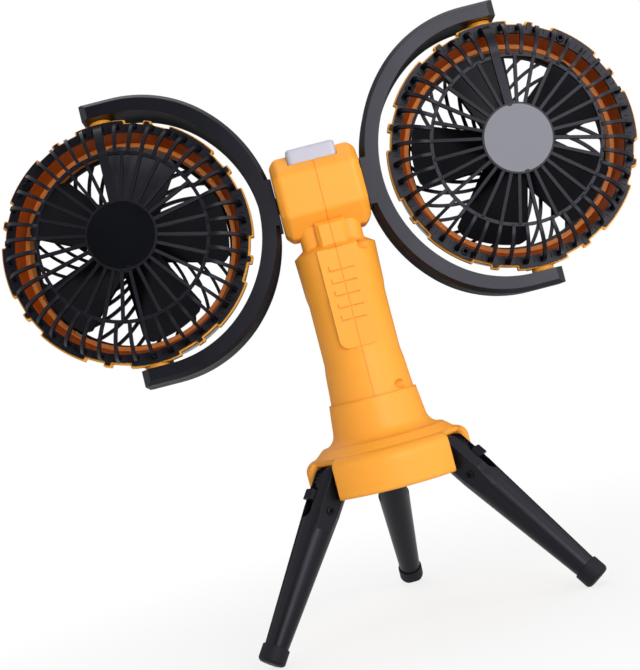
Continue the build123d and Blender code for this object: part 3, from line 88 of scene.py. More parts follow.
# Leg screws in millimetres from the leg's hinge, the leg's spread and the cross's turn in degrees
LEG_SPREAD = 37.7
LEG_SCREW_DOWN = 17.2
LEG_SCREW_IN = 0.5
LEG_SCREW_SHANK = 2.5
LEG_SCREW_TURN = 25
CHEEK_HALF = 9.5

# Guard screws stand as a driver leaves them: turn of the first cross and step from gap to gap
CROSS_TURN = 20
CROSS_TURN_STEP = 37

# Pan head with a cross recess: cells of the recess, its depth, and the profile from crown to neck
# as shares of the head's radius and height
CROSS_CELLS = 5
CELL_SHARE = 0.2
RECESS_SHARE = 0.6
CROWN_SHARE = 0.8
HEAD_PROFILE = ((0.95, 0.2), (1.0, 0.5), (1.0, 1.0), (0.45, 1.0))
SHANK_SHARE = 0.45
HEAD_SEGMENTS = 20

# Signs in millimetres: radius of the dot, number of leaves, their distance and their half width
SIGNS = {"fan_button": (0.5, 3, 1.3, 0.8), "light_button": (1.2, 8, 2.4, 0.3)}
LEAF_STRETCH = 1.6

# Thickness of the hub's base plate in millimetres
BASE_PLATE = 4.5

# Edges beside a joint in millimetres: end of the crisp ones, start of the soft ones; crisp radius
SEAM_STRIP = (0.6, 2.0)
HUB_STRIP = (1.0, 4.0)
BASE_STRIP = (-1.0, -3.5)
CRISP_EDGE = 0.05

# Patterns of the plastics in millimetres, and how far a roughness wanders below and above
FLOW = 45.0
CLOUD = 18.0
FROST = 0.6
PLASTIC_GLOSS = (0.05, 0.07)
METAL_GLOSS = (0.08, 0.1)
EDGE_SAMPLES = 4

# Parting line in millimetres from its middle: end of the full tone, end of the line; and its tone
PARTING_CORE = 0.12
PARTING_EDGE = 0.3
PARTING_SHARE = 0.85

# Sockets of a colour mix
FACTOR, FIRST, SECOND, MIXED = 0, 6, 7, 2

# Faces that meet at more than this many degrees keep a hard edge
SHARP_ANGLE = 35

# Lamps: place and width in metres, and the setting that holds the power
LAMPS = {
    "key_light": ((1.4, -0.85, 0.75), 1.2, "key"),
    "fill_light": ((-1.2, -1.0, 0.8), 1.2, "fill"),
    "top_light": ((0.1, 0.5, 1.7), 1.2, "top"),
    "far_light": ((-0.5, 1.4, 0.8), 1.3, "far"),
    "softbox": ((0.42, -1.3, 0.46), 0.59, "box"),
}
LAMP_TARGET = (0, -0.03, 0.22)
ROOM_LIGHT = 0.36

# Dark cards: place, target, width and height in metres
CARDS = {
    "left_flag": ((-0.32, -1.35, 0.72), (-0.12, -0.06, 0.27), 0.84, 0.84),
    "rear_flag": ((0.0, 0.45, 0.32), (0.0, -0.03, 0.32), 1.6, 0.64),
}

# Floor in metres: its radius, how far out its shadow is full and where it ends; and the share of
# plain white in the full shadow
FLOOR_RADIUS = 3.0
SHADOW_FULL = 0.12
SHADOW_END = 0.45
WHITE_SHARE = 0.75

# Camera place in metres, in depth from the heads' pivots; its pitch, yaw and roll in radians
CAMERA_PLACE = (-0.03464, -0.79475, 0.1566)
CAMERA_TURN = (-0.0344, -0.0153, -0.2529)
CAMERA_REACH = 20.0
SENSOR_WIDTH = 36.0


def linear(code):
    """Linear colour of an sRGB hex value."""
    parts = [int(code[i:i + 2], 16) / 255 for i in (1, 3, 5)]
    return [v / 12.92 if v <= 0.04045 else ((v + 0.055) / 1.055) ** 2.4 for v in parts]


def opaque(colour):
    """Linear colour with a full alpha."""
    return list(colour) + [1.0]


def colour_property(name, code, words):
    """Colour that a user may change, with its default as an sRGB hex value."""
    return FloatVectorProperty(name=name, description=words, subtype="COLOR", size=3, min=0, max=1,
                               default=linear(code))


def length_property(name, millimetres, words):
    """Length that a user may change, with its default in millimetres."""
    return FloatProperty(name=name, description=words, default=millimetres * MM, min=0,
                         unit="LENGTH", precision=5)


def power_property(name, watts, words):
    """Power of a lamp that a user may change."""
    return FloatProperty(name=name, description=words, default=watts, min=0, unit="POWER")


class FAN_PG_finishes(bpy.types.PropertyGroup):
    """Colours of the fan's main finishes."""

    orange: colour_property("Shell orange", "#FCA634", "Moulded shells, hub and fan rings")
    # Painted shade: the cone inside the fan rings, coloured deeper and redder than the shell orange
    duct: colour_property("Duct orange", "#AC480A", "Cone inside the fan rings")
    # Painted shade, paler than the cone's, on the step at the cone's foot and inside it
    ledge_painted_shade: colour_property("Ledge orange", "#DC8440",
                           "Ledge at the foot of the cone and the duct beyond it")
    # Painted light: the fan rings' outer edge, coloured lighter than the shell orange
    rim: colour_property("Rim orange", "#FFB858",
                         "Outer edge of the fan rings, thin and lit from all sides")
    black: colour_property("Guard black", "#08090F", "Guards and yokes")
    sheen: colour_property("Sheen of the blacks", "#F0F0FC",
                           "Cool cast of the highlight on black plastic")
    leg_black: colour_property("Leg black", "#08090D", "Legs, latches and knuckles")
    lens: colour_property("Frosted lens", "#BDBBCA", "Top lamp")
    ring: colour_property("Frosted ring", "#DAD9E0", "Ring lights around the front guards")
    label: colour_property("Label black", "#0A0B0D", "Bare film labels on the hubs")


class FAN_PG_trim(bpy.types.PropertyGroup):
    """Sizes of the small trim."""

    label_radius: length_property("Label radius", 21.2, "Round label over the hub's face")
    plug_radius: length_property("Plug radius", 20.4, "Back of the label, in the hub's recess")
    label_thickness: length_property("Label thickness", 0.3, "Film of the label")
    notch_radius: length_property("Notch radius", 1.3,
                                  "Half-round notches at the label's top and bottom")
    screw_radius: length_property("Screw head radius", 2.6, "Pan heads of the guard and leg screws")
    guard_screw_height: length_property("Guard screw height", 1.4, "Pan heads on the guard's band")
    leg_screw_height: length_property("Leg screw height", 1.0, "Pan heads on the legs' flats")
    mark_thickness: length_property(
        "Sign thickness", 0.12,
        "Printed signs on the buttons, drawn thicker than ink to hold their edge")
    bead_width: length_property("Bead width", 0.6, "Fine beads on the band between the ribs")
    bead_height: length_property("Bead height", 0.5, "How far the beads stand up")


class FAN_PG_stage(bpy.types.PropertyGroup):
    """Studio light and camera."""

    key: power_property("Key light", 10.0, "Power of the large soft light from the right")
    fill: power_property("Fill light", 2.4, "Power of the light from the left")
    top: power_property("Top light", 4.0, "Power of the light above")
    far: power_property("Far light", 8.0, "Power of the light on the fan's front")
    box: power_property("Softbox", 9.0, "Power of the small box beside the camera")
    lens: FloatProperty(name="Focal length", description="Camera lens in millimetres",
                        default=70.54, min=10, unit="CAMERA")


def add(tree, kind, links=None, **settings):
    """Adds a node; links maps an input to a constant or to another node's output."""
    made = tree.nodes.new(kind)
    for key, value in settings.items():
        setattr(made, key, value)
    for key, value in (links or {}).items():
        if isinstance(value, bpy.types.NodeSocket):
            tree.links.new(value, made.inputs[key])
        else:
            made.inputs[key].default_value = value
    return made


def start(name):
    """New material with its tree, Principled shader and object coordinates."""
    material = bpy.data.materials.new(name)
    material.use_nodes = True
    tree = material.node_tree
    tree.nodes.clear()
    shader = add(tree, "ShaderNodeBsdfPrincipled")
    out = add(tree, "ShaderNodeOutputMaterial")
    tree.links.new(shader.outputs[0], out.inputs["Surface"])
    place = add(tree, "ShaderNodeTexCoord").outputs["Object"]
    return material, tree, shader, place


def per_metre(millimetres):
    """Texture scale for a pattern of this size on coordinates in metres."""
    return 1.0 / (millimetres * MM)


def along_axis(tree, place, point, axis):
    """Vector from a point, and how far it reaches along an axis."""
    away = add(tree, "ShaderNodeVectorMath", {0: place, 1: tuple(point)}, operation="SUBTRACT")
    along = add(tree, "ShaderNodeVectorMath", {0: away.outputs[0], 1: tuple(axis)},
                operation="DOT_PRODUCT")
    return away.outputs[0], along.outputs["Value"]


def ring_painted_light_and_shade(tree, place, outside, cone, ledge_painted_shade, middle, axis):
    """Colour of a fan ring by its distance from the fan axis.

    Inside the ring the cone is painted deeper and redder, painted shade for the light that has
    bounced about on the plastic, and the ledge at its foot a paler painted shade, as it faces the
    room; beyond the mouth the lighter rim colour passed in is painted light."""
    away, along = along_axis(tree, place, middle, axis)
    level = add(tree, "ShaderNodeVectorMath", {0: tuple(axis), "Scale": along}, operation="SCALE")
    across = add(tree, "ShaderNodeVectorMath", {0: away, 1: level.outputs[0]},
                 operation="DISTANCE")
    colour = opaque(ledge_painted_shade)
    for near, far, beyond in ((DUCT_LEDGE_R - LEDGE_EDGE, DUCT_LEDGE_R, opaque(cone)),
                              (DUCT_MOUTH_R, DUCT_RIM_R, outside)):
        step = add(tree, "ShaderNodeMapRange", {"Value": across.outputs["Value"],
                                                "From Min": near * MM, "From Max": far * MM})
        mix = add(tree, "ShaderNodeMix",
                  {FACTOR: step.outputs[0], FIRST: colour, SECOND: beyond}, data_type="RGBA")
        colour = mix.outputs[MIXED]
    return colour


def moulded(name, base, second, rough, grain_mm, depth_mm, specular=0.5, tint=(1.0, 1.0, 1.0),
            edge_mm=0.4, soft_from=None, ring=None):
    """Injection-moulded plastic: slow colour flow, tool grain, uneven gloss and soft edges.

    The grain is drawn several times coarser than a real one, so that it shows."""
    material, tree, shader, place = start(name)
    flow = add(tree, "ShaderNodeTexNoise",
               {"Vector": place, "Scale": per_metre(FLOW), "Detail": 3.0})
    mix = add(tree, "ShaderNodeMix",
              {FACTOR: flow.outputs["Fac"], FIRST: opaque(base), SECOND: opaque(second)},
              data_type="RGBA")
    colour = mix.outputs[MIXED]
    # Painted shade in the ring's cone and ledge, and painted light on its rim, by distance from the
    # fan axis
    if ring is not None:
        colour = ring_painted_light_and_shade(tree, place, colour, *ring)
    tree.links.new(colour, shader.inputs["Base Color"])
    below, above = PLASTIC_GLOSS
    gloss = add(tree, "ShaderNodeMapRange", {"Value": flow.outputs["Fac"], "To Min": rough - below,
                                             "To Max": rough + above})
    tree.links.new(gloss.outputs[0], shader.inputs["Roughness"])
    edge = add(tree, "ShaderNodeBevel", {"Radius": edge_mm * MM}, samples=EDGE_SAMPLES)
    if soft_from is not None:
        # Beside a joint the edges are crisp up to the first place along the axis, and fully soft
        # from the second on, so that the two pieces look fitted
        axis, crisp, soft = soft_from
        parts = add(tree, "ShaderNodeSeparateXYZ", {"Vector": place})
        soften = add(tree, "ShaderNodeMapRange",
                     {"Value": parts.outputs[axis], "From Min": crisp, "From Max": soft,
                      "To Min": CRISP_EDGE * MM, "To Max": edge_mm * MM})
        tree.links.new(soften.outputs[0], edge.inputs["Radius"])
    grain = add(tree, "ShaderNodeTexNoise",
                {"Vector": place, "Scale": per_metre(grain_mm), "Detail": 2.0})
    bump = add(tree, "ShaderNodeBump", {"Height": grain.outputs["Fac"], "Normal": edge.outputs[0],
                                        "Strength": 0.35, "Distance": depth_mm * MM})
    tree.links.new(bump.outputs[0], shader.inputs["Normal"])
    shader.inputs["Specular IOR Level"].default_value = specular
    shader.inputs["Specular Tint"].default_value = opaque(tint)
    return material


def frosted(name, base):
    """Frosted polycarbonate: milky, with a faint cloud and a fine frost."""
    material, tree, shader, place = start(name)
    cloud = add(tree, "ShaderNodeTexNoise",
                {"Vector": place, "Scale": per_metre(CLOUD), "Detail": 2.0})
    tone = add(tree, "ShaderNodeMix", {FACTOR: cloud.outputs["Fac"], FIRST: opaque(base),
                                       SECOND: opaque(c * 0.94 for c in base)}, data_type="RGBA")
    tree.links.new(tone.outputs[MIXED], shader.inputs["Base Color"])
    frost = add(tree, "ShaderNodeTexNoise",
                {"Vector": place, "Scale": per_metre(FROST), "Detail": 2.0})
    edge = add(tree, "ShaderNodeBevel", {"Radius": 0.8 * MM}, samples=EDGE_SAMPLES)
    bump = add(tree, "ShaderNodeBump", {"Height": frost.outputs["Fac"], "Normal": edge.outputs[0],
                                        "Strength": 0.2, "Distance": 0.03 * MM})
    tree.links.new(bump.outputs[0], shader.inputs["Normal"])
    shader.inputs["Roughness"].default_value = 0.42
    shader.inputs["IOR"].default_value = 1.58
    shader.inputs["Subsurface Weight"].default_value = 0.35
    shader.inputs["Subsurface Radius"].default_value = (0.004, 0.004, 0.0045)
    return material


def metal(name, code, rough, tooth_mm=0.5):
    """Plated or turned metal: a fine tooth that breaks up the highlight."""
    material, tree, shader, place = start(name)
    tooth = add(tree, "ShaderNodeTexNoise",
                {"Vector": place, "Scale": per_metre(tooth_mm), "Detail": 3.0})
    base = linear(code)
    tone = add(tree, "ShaderNodeMix", {FACTOR: tooth.outputs["Fac"], FIRST: opaque(base),
                                       SECOND: opaque(c * 0.8 for c in base)}, data_type="RGBA")
    tree.links.new(tone.outputs[MIXED], shader.inputs["Base Color"])
    below, above = METAL_GLOSS
    gloss = add(tree, "ShaderNodeMapRange", {"Value": tooth.outputs["Fac"],
                                             "To Min": rough - below, "To Max": rough + above})
    tree.links.new(gloss.outputs[0], shader.inputs["Roughness"])
    shader.inputs["Metallic"].default_value = 1.0
    return material


def parting_line(material, point, across):
    """Fine dark line on a moulding, where two shells meet in the plane through a point."""
    tree = material.node_tree
    shader = next(node for node in tree.nodes if node.type == "BSDF_PRINCIPLED")
    place = next(node for node in tree.nodes if node.type == "TEX_COORD").outputs["Object"]
    along = along_axis(tree, place, point, across)[1]
    off = add(tree, "ShaderNodeMath", {0: along}, operation="ABSOLUTE")
    line = add(tree, "ShaderNodeMapRange",
               {"Value": off.outputs[0], "From Min": PARTING_CORE * MM,
                "From Max": PARTING_EDGE * MM, "To Min": PARTING_SHARE, "To Max": 0.0})
    plain = shader.inputs["Base Color"].links[0].from_socket
    tone = add(tree, "ShaderNodeMix", {FACTOR: line.outputs[0], FIRST: plain,
                                       SECOND: opaque(linear("#08080A"))}, data_type="RGBA")
    tree.links.new(tone.outputs[MIXED], shader.inputs["Base Color"])


def seen_directly(tree):
    """1 where the camera, a reflection or glass sees a surface, 0 where it only lights others."""
    path = add(tree, "ShaderNodeLightPath")
    seen = path.outputs["Is Camera Ray"]
    for ray in ("Is Glossy Ray", "Is Transmission Ray"):
        either = add(tree, "ShaderNodeMath", {0: seen, 1: path.outputs[ray]}, operation="MAXIMUM")
        seen = either.outputs[0]
    return seen


def finish_nodes(material, *names):
    """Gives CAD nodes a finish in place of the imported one."""
    for name in names:
        for slot in frame["nodes"][name].material_slots:
            slot.material = material


def pairs(*names):
    """Names of both sides' nodes."""
    return [name + "_" + side for name in names for side in SIDES]


def each_leg(*names):
    """Names of the three legs' nodes."""
    return [name + "_" + leg for name in names for leg in LEGS]


def head_frame(side):
    """Frame of a head seen from the rear, in metres: X right, Y up its pivots, Z to the rear."""
    up = Vector(JOINTS["head_turn_" + side]["axis"])
    rear = -Vector(JOINTS["rotor_spin_" + side]["axis"])
    right = up.cross(rear)
    spot = Vector(JOINTS["head_turn_" + side]["pos_m"])
    return Matrix.Translation(spot) @ Matrix((right, up, rear)).transposed().to_4x4()


def band_place(side, gap, height):
    """Place above a guard's band, midway between two ribs; the height is in metres."""
    around = Matrix.Rotation(radians((gap + 0.5) * 360 / RIB_COUNT), 4, "Z")
    spot = Matrix.Translation((0, BAND_MIDDLE_R * MM, BAND_REAR * MM + height))
    return head_frame(side) @ around @ spot


def looking(place, target):
    """Frame at a place that faces a target, as a lamp or a card stands."""
    aim = Vector(target) - Vector(place)
    return Matrix.Translation(place) @ aim.to_track_quat("-Z", "Y").to_matrix().to_4x4()


def linked(name, form, material):
    """Object from a modelled form, in the scene and with its material."""
    mesh = bpy.data.meshes.new(name)
    form.to_mesh(mesh)
    form.free()
    mesh.materials.append(material)
    made = bpy.data.objects.new(name, mesh)
    bpy.context.scene.collection.objects.link(made)
    return made


def keep(name, form, finish, body, slot, *replaced):
    """Closes a modelled piece: outward faces, soft shading, finish, and the body it rides on."""
    bmesh.ops.recalc_face_normals(form, faces=form.faces)
    piece = linked(name, form, bpy.data.materials[finish])
    piece.data.shade_smooth()
    piece.data.set_sharp_from_angle(angle=radians(SHARP_ANGLE))
    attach(piece, body)
    if replaced:
        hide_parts(*replaced)


def raise_faces(form, faces, height):
    """Extrudes faces along Z, and returns what that made."""
    made = bmesh.ops.extrude_face_region(form, geom=faces)["geom"]
    top = [item for item in made if isinstance(item, bmesh.types.BMVert)]
    bmesh.ops.translate(form, verts=top, vec=(0, 0, height))
    return made


def cross_screw(form, place, radius, height, shank):
    """Pan-head screw with a cross recess: its head's top lies at the place, facing its Z."""
    before = set(form.verts)
    cell = radius * CELL_SHARE
    bmesh.ops.create_grid(form, x_segments=CROSS_CELLS, y_segments=CROSS_CELLS,
                          size=cell * CROSS_CELLS / 2)
    top = [vert for vert in form.verts if vert not in before]
    faces = {face for vert in top for face in vert.link_faces}
    edges = {edge for vert in top for edge in vert.link_edges}
    rim = [edge for edge in edges if edge.is_boundary]
    cross = [face for face in faces
             if min(abs(v) for v in face.calc_center_median()[:2]) < cell / 2]
    raise_faces(form, cross, -height * RECESS_SHARE)
    crown = bmesh.ops.create_circle(form, segments=HEAD_SEGMENTS, radius=radius * CROWN_SHARE)
    loop = list({edge for vert in crown["verts"] for edge in vert.link_edges})
    bmesh.ops.bridge_loops(form, edges=rim + loop)
    steps = [(wide, down * height) for wide, down in HEAD_PROFILE]
    for wide, down in steps + [(SHANK_SHARE, height + shank)]:
        made = bmesh.ops.extrude_edge_only(form, edges=loop)["geom"]
        ring = [item for item in made if isinstance(item, bmesh.types.BMVert)]
        loop = [item for item in made if isinstance(item, bmesh.types.BMEdge)]
        loop = [edge for edge in loop if all(vert in ring for vert in edge.verts)]
        for vert in ring:
            flat = vert.co.xy.normalized() * radius * wide
            vert.co = (flat.x, flat.y, -down)
    bmesh.ops.contextual_create(form, geom=loop)
    bmesh.ops.transform(form, matrix=place,
                        verts=[vert for vert in form.verts if vert not in before])


class FAN_OT_finishes(bpy.types.Operator):
    """Give every CAD piece the finish of its real material"""

    bl_idname = "fan.finishes"
    bl_label = "Finishes of the CAD pieces"

    def execute(self, context):
        look = context.scene.fan_finishes
        self.orange_pieces(look)
        self.black_pieces(look)
        self.frosted_pieces(look)
        self.metal_pieces()
        self.inner_pieces()
        # Pad-printed ink on the buttons: flat black with a slight tooth
        moulded("ink_black_printed", linear("#1A1A1C"), linear("#222224"), rough=0.6, grain_mm=0.6,
                depth_mm=0.02, specular=0.3, edge_mm=0.05)
        # Laminated film of the bare labels: smooth enough to mirror a softbox as a grey sheen
        moulded("film_black_laminated", look.label, linear("#0E0F13"), rough=0.16, grain_mm=0.5,
                depth_mm=0.003, specular=0.47, edge_mm=0.1, tint=look.sheen)
        return {"FINISHED"}

    def orange_pieces(self, look):
        """Orange ABS of the body, the hub and the fan rings."""
        second = [c * 0.95 for c in look.orange]
        # Spark-eroded ABS: a soft satin orange, with a grain that only shows in the highlight
        satin = {"rough": 0.46, "grain_mm": 0.7, "depth_mm": 0.05, "specular": 0.32}
        small = moulded("abs_orange_satin", look.orange, second, **satin)
        finish_nodes(small, "fan_button", "light_button", *pairs("head_pivots"))
        for name in pairs("body_shell"):
            low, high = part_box(name)
            outward = 1 if low[0] + high[0] > 0 else -1
            crisp, soft = (outward * end * MM for end in SEAM_STRIP)
            half = moulded("abs_orange_" + name, look.orange, second, **satin,
                           soft_from=("X", crisp, soft))
            finish_nodes(half, name)
        # The same ABS from a tool with broad radii: the hub's edges catch a wide, soft light
        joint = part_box("hub_base")[0][2] + BASE_PLATE * MM
        for name, strip in (("tripod_hub", HUB_STRIP), ("hub_base", BASE_STRIP)):
            crisp, soft = (joint + end * MM for end in strip)
            hub = moulded("abs_orange_" + name, look.orange, second, **satin, edge_mm=2.2,
                          soft_from=("Z", crisp, soft))
            finish_nodes(hub, name)
        # The same ABS in the fan rings, with painted shade in the ducts, red-orange on the cone and
        # paler on the ledge, and painted light on the rim
        for side in SIDES:
            turn = head_frame(side)
            ring = moulded("abs_orange_ring_" + side, look.rim, second, rough=0.5, grain_mm=0.7,
                           depth_mm=0.05, specular=0.15,
                           ring=(look.duct, look.ledge_painted_shade, turn.translation, turn.col[2].xyz))
            finish_nodes(ring, "fan_housing_" + side)

    def black_pieces(self, look):
        """Black plastics and rubber of the yokes, guards, blades and legs."""
        # Black ABS off a fine-textured tool: dark and satin, a little blue, with a parting line
        for side in SIDES:
            black = moulded("abs_black_satin_" + side, look.black, linear("#0C0D14"), rough=0.3,
                            grain_mm=0.8, depth_mm=0.05, specular=0.27, tint=look.sheen)
            turn = head_frame(side)
            parting_line(black, turn.translation, turn.col[2].xyz)
            finish_nodes(black, "yoke_rear_shell_" + side, "yoke_front_shell_" + side)
        # The same ABS in the guards: a softer sheen that lets the many ribs stay dark
        guard = moulded("abs_black_guard", look.black, linear("#0C0D16"), rough=0.38, grain_mm=0.8,
                        depth_mm=0.04, specular=0.22, edge_mm=0.3, tint=look.sheen)
        finish_nodes(guard, *pairs("rear_grille", "front_grille"))
        # Polished-tool polypropylene: the blades show broad soft reflections
        rotor = moulded("polypropylene_black_gloss", linear("#08090C"), linear("#0C0D12"),
                        rough=0.3, grain_mm=1.5, depth_mm=0.03, specular=0.18, tint=look.sheen)
        finish_nodes(rotor, *pairs("impeller"))
        # Glass-filled nylon: black with a low sheen and a slightly coarser grain
        nylon = moulded("nylon_black_matt", look.leg_black, linear("#0F1017"), rough=0.36,
                        grain_mm=0.9, depth_mm=0.06, specular=0.22, tint=look.sheen)
        finish_nodes(nylon, "leg_knuckles", *each_leg("leg", "latch"))
        # Soft moulded rubber: no clear highlight at all
        rubber = moulded("rubber_black_soft", linear("#0B0B10"), linear("#101015"), rough=0.62,
                         grain_mm=1.2, depth_mm=0.1, specular=0.25, tint=look.sheen)
        finish_nodes(rubber, *each_leg("foot_cap"))

    def frosted_pieces(self, look):
        """Frosted polycarbonate of the lamps: milky, the top one with a lilac shade."""
        lens = frosted("polycarbonate_frosted", look.lens)
        finish_nodes(lens, "lamp_lens")
        rings = frosted("polycarbonate_frosted_white", look.ring)
        finish_nodes(rings, *pairs("light_ring"))

    def metal_pieces(self):
        """Screws, pins, springs, shafts and motors."""
        # Black zinc screws: dark metal with small glints
        screw = metal("steel_black_zinc", "#242427", 0.42)
        finish_nodes(screw, "body_screws", "hub_screws", *each_leg("leg_screws"),
                     *pairs("yoke_screws", "grille_screws"))
        # Drawn steel and turned aluminium: bright metal that shows only in gaps
        steel = metal("steel_drawn", "#8C8D90", 0.3)
        finish_nodes(steel, "leg_pins", "charge_port", *each_leg("latch_spring"),
                     *pairs("motor_shaft"))
        alloy = metal("aluminium_turned", "#A9AAAD", 0.35)
        finish_nodes(alloy, *pairs("motor"))
        # Black anodised shafts: a dark line in the gap between head and yoke
        shaft = metal("aluminium_black_anodised", "#1B1C1F", 0.5)
        finish_nodes(shaft, *pairs("yoke_pivot"))

    def inner_pieces(self):
        """Shrink sleeve over the cells, and solder mask on the boards."""
        # Shrunk PVC: a smooth glossy blue
        sleeve = moulded("pvc_sleeve_blue", linear("#2E5C86"), linear("#34658F"), rough=0.3,
                         grain_mm=2.0, depth_mm=0.02)
        finish_nodes(sleeve, "battery_cells")
        # Solder mask: an even green lacquer
        mask = moulded("solder_mask_green", linear("#1E5B36"), linear("#236440"), rough=0.4,
                       grain_mm=1.0, depth_mm=0.02)
        finish_nodes(mask, "control_board", "lamp_board", *pairs("led_board"))


class FAN_OT_labels(bpy.types.Operator):
    """Lay a bare round label in the recess of each rear hub"""

    bl_idname = "fan.labels"
    bl_label = "Hub labels"

    def execute(self, context):
        size = context.scene.fan_trim
        radius = size.label_radius
        notch = size.notch_radius
        for side in SIDES:
            form = bmesh.new()
            outline = bmesh.ops.create_circle(form, cap_ends=True, segments=LABEL_SEGMENTS,
                                              radius=radius)["verts"]
            for vert in outline:
                upward = 1 if vert.co.y > 0 else -1
                if hypot(vert.co.x, vert.co.y - upward * radius) < notch:
                    vert.co.y = upward * (radius - sqrt(notch ** 2 - vert.co.x ** 2))
            made = raise_faces(form, form.faces[:], size.label_thickness)
            brim = [item for item in made if isinstance(item, bmesh.types.BMEdge)]
            bmesh.ops.bevel(form, geom=brim, offset=size.label_thickness / 3, affect="EDGES",
                            segments=1, profile=0.5, material=-1)
            bmesh.ops.translate(form, verts=form.verts, vec=(0, 0, HUB_REAR * MM))
            plug = bmesh.ops.create_circle(form, cap_ends=True, segments=PLUG_SEGMENTS,
                                           radius=size.plug_radius)["verts"]
            bmesh.ops.translate(form, verts=plug, vec=(0, 0, LABEL_FLOOR * MM))
            back = list({face for vert in plug for face in vert.link_faces})
            raise_faces(form, back, (HUB_REAR - LABEL_FLOOR) * MM)
            bmesh.ops.transform(form, matrix=head_frame(side), verts=form.verts)
            keep("hub_label_" + side, form, "film_black_laminated", "head_" + side,
                 "black_plastic")
        return {"FINISHED"}


class FAN_OT_guard_screws(bpy.types.Operator):
    """Give each rear guard its four pan-head screws with cross recesses"""

    bl_idname = "fan.guard_screws"
    bl_label = "Guard screws"

    def execute(self, context):
        size = context.scene.fan_trim
        height = size.guard_screw_height
        for side in SIDES:
            form = bmesh.new()
            for gap in GUARD_SCREW_GAPS:
                turn = Matrix.Rotation(radians(CROSS_TURN + CROSS_TURN_STEP * gap), 4, "Z")
                cross_screw(form, band_place(side, gap, height) @ turn, size.screw_radius, height,
                            GUARD_SCREW_SHANK * MM)
            keep("guard_screws_" + side, form, "steel_black_zinc", "head_" + side, "screw_steel",
                 "grille_screws_" + side)
        return {"FINISHED"}


class FAN_OT_leg_screws(bpy.types.Operator):
    """Give each leg the two cross-recessed screws on its flats"""

    bl_idname = "fan.leg_screws"
    bl_label = "Leg screws"

    def execute(self, context):
        size = context.scene.fan_trim
        height = size.leg_screw_height
        spread = radians(LEG_SPREAD)
        turn = Matrix.Rotation(radians(LEG_SCREW_TURN), 4, "Z")
        for leg in LEGS:
            hinge = JOINTS["leg_fold_" + leg]
            across = Vector(hinge["axis"])
            outward = across.cross(Vector((0, 0, 1)))
            down = outward * sin(spread) - Vector((0, 0, cos(spread)))
            away = across.cross(-down)
            middle = Vector(hinge["pos_m"]) + (down * LEG_SCREW_DOWN - away * LEG_SCREW_IN) * MM
            form = bmesh.new()
            for face in (-1, 1):
                facing = across * face
                rows = Matrix((down.cross(facing), down, facing)).transposed()
                spot = middle + facing * (CHEEK_HALF * MM + height)
                place = Matrix.Translation(spot) @ rows.to_4x4() @ turn
                cross_screw(form, place, size.screw_radius, height, LEG_SCREW_SHANK * MM)
            keep("leg_screw_pair_" + leg, form, "steel_black_zinc", "leg_" + leg, "screw_steel",
                 "leg_screws_" + leg)
        return {"FINISHED"}


class FAN_OT_button_marks(bpy.types.Operator):
    """Print a fan sign and a lamp sign on the two push buttons"""

    bl_idname = "fan.button_marks"
    bl_label = "Button signs"

    def execute(self, context):
        thick = context.scene.fan_trim.mark_thickness
        facing = Matrix(((-1, 0, 0), (0, 0, 1), (0, 1, 0))).to_4x4()
        for name, (dot, leaves, reach, half_width) in SIGNS.items():
            low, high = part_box(name)
            form = bmesh.new()
            bmesh.ops.create_circle(form, cap_ends=True, segments=32, radius=dot * MM)
            for i in range(leaves):
                leaf = bmesh.ops.create_circle(form, cap_ends=True, segments=24,
                                               radius=half_width * MM)["verts"]
                bmesh.ops.scale(form, verts=leaf, vec=(1.0, LEAF_STRETCH, 1.0))
                bmesh.ops.translate(form, verts=leaf, vec=(0, reach * MM, 0))
                bmesh.ops.rotate(form, verts=leaf, cent=(0, 0, 0),
                                 matrix=Matrix.Rotation(radians(360 * i / leaves), 3, "Z"))
            raise_faces(form, form.faces[:], thick)
            spot = Vector(((low[0] + high[0]) / 2, high[1], (low[2] + high[2]) / 2))
            bmesh.ops.transform(form, matrix=Matrix.Translation(spot) @ facing, verts=form.verts)
            keep(name + "_sign", form, "ink_black_printed", name, "black_plastic")
        return {"FINISHED"}


class FAN_OT_band_beads(bpy.types.Operator):
    """Raise a fine bead on each guard's band between every two ribs"""

    bl_idname = "fan.band_beads"
    bl_label = "Band beads"

    def execute(self, context):
        size = context.scene.fan_trim
        block = (size.bead_width, BEAD_LENGTH * MM, 2 * size.bead_height)
        for side in SIDES:
            form = bmesh.new()
            for gap in range(RIB_COUNT):
                if gap in GUARD_SCREW_GAPS:
                    continue
                bead = bmesh.ops.create_cube(form, size=1.0)["verts"]
                bmesh.ops.scale(form, verts=bead, vec=block)
                tops = [vert for vert in bead if vert.co.z > 0]
                bmesh.ops.scale(form, verts=tops, vec=BEAD_TAPER)
                bmesh.ops.transform(form, matrix=band_place(side, gap, 0), verts=bead)
            keep("band_beads_" + side, form, "abs_black_guard", "head_" + side, "black_plastic")
        return {"FINISHED"}


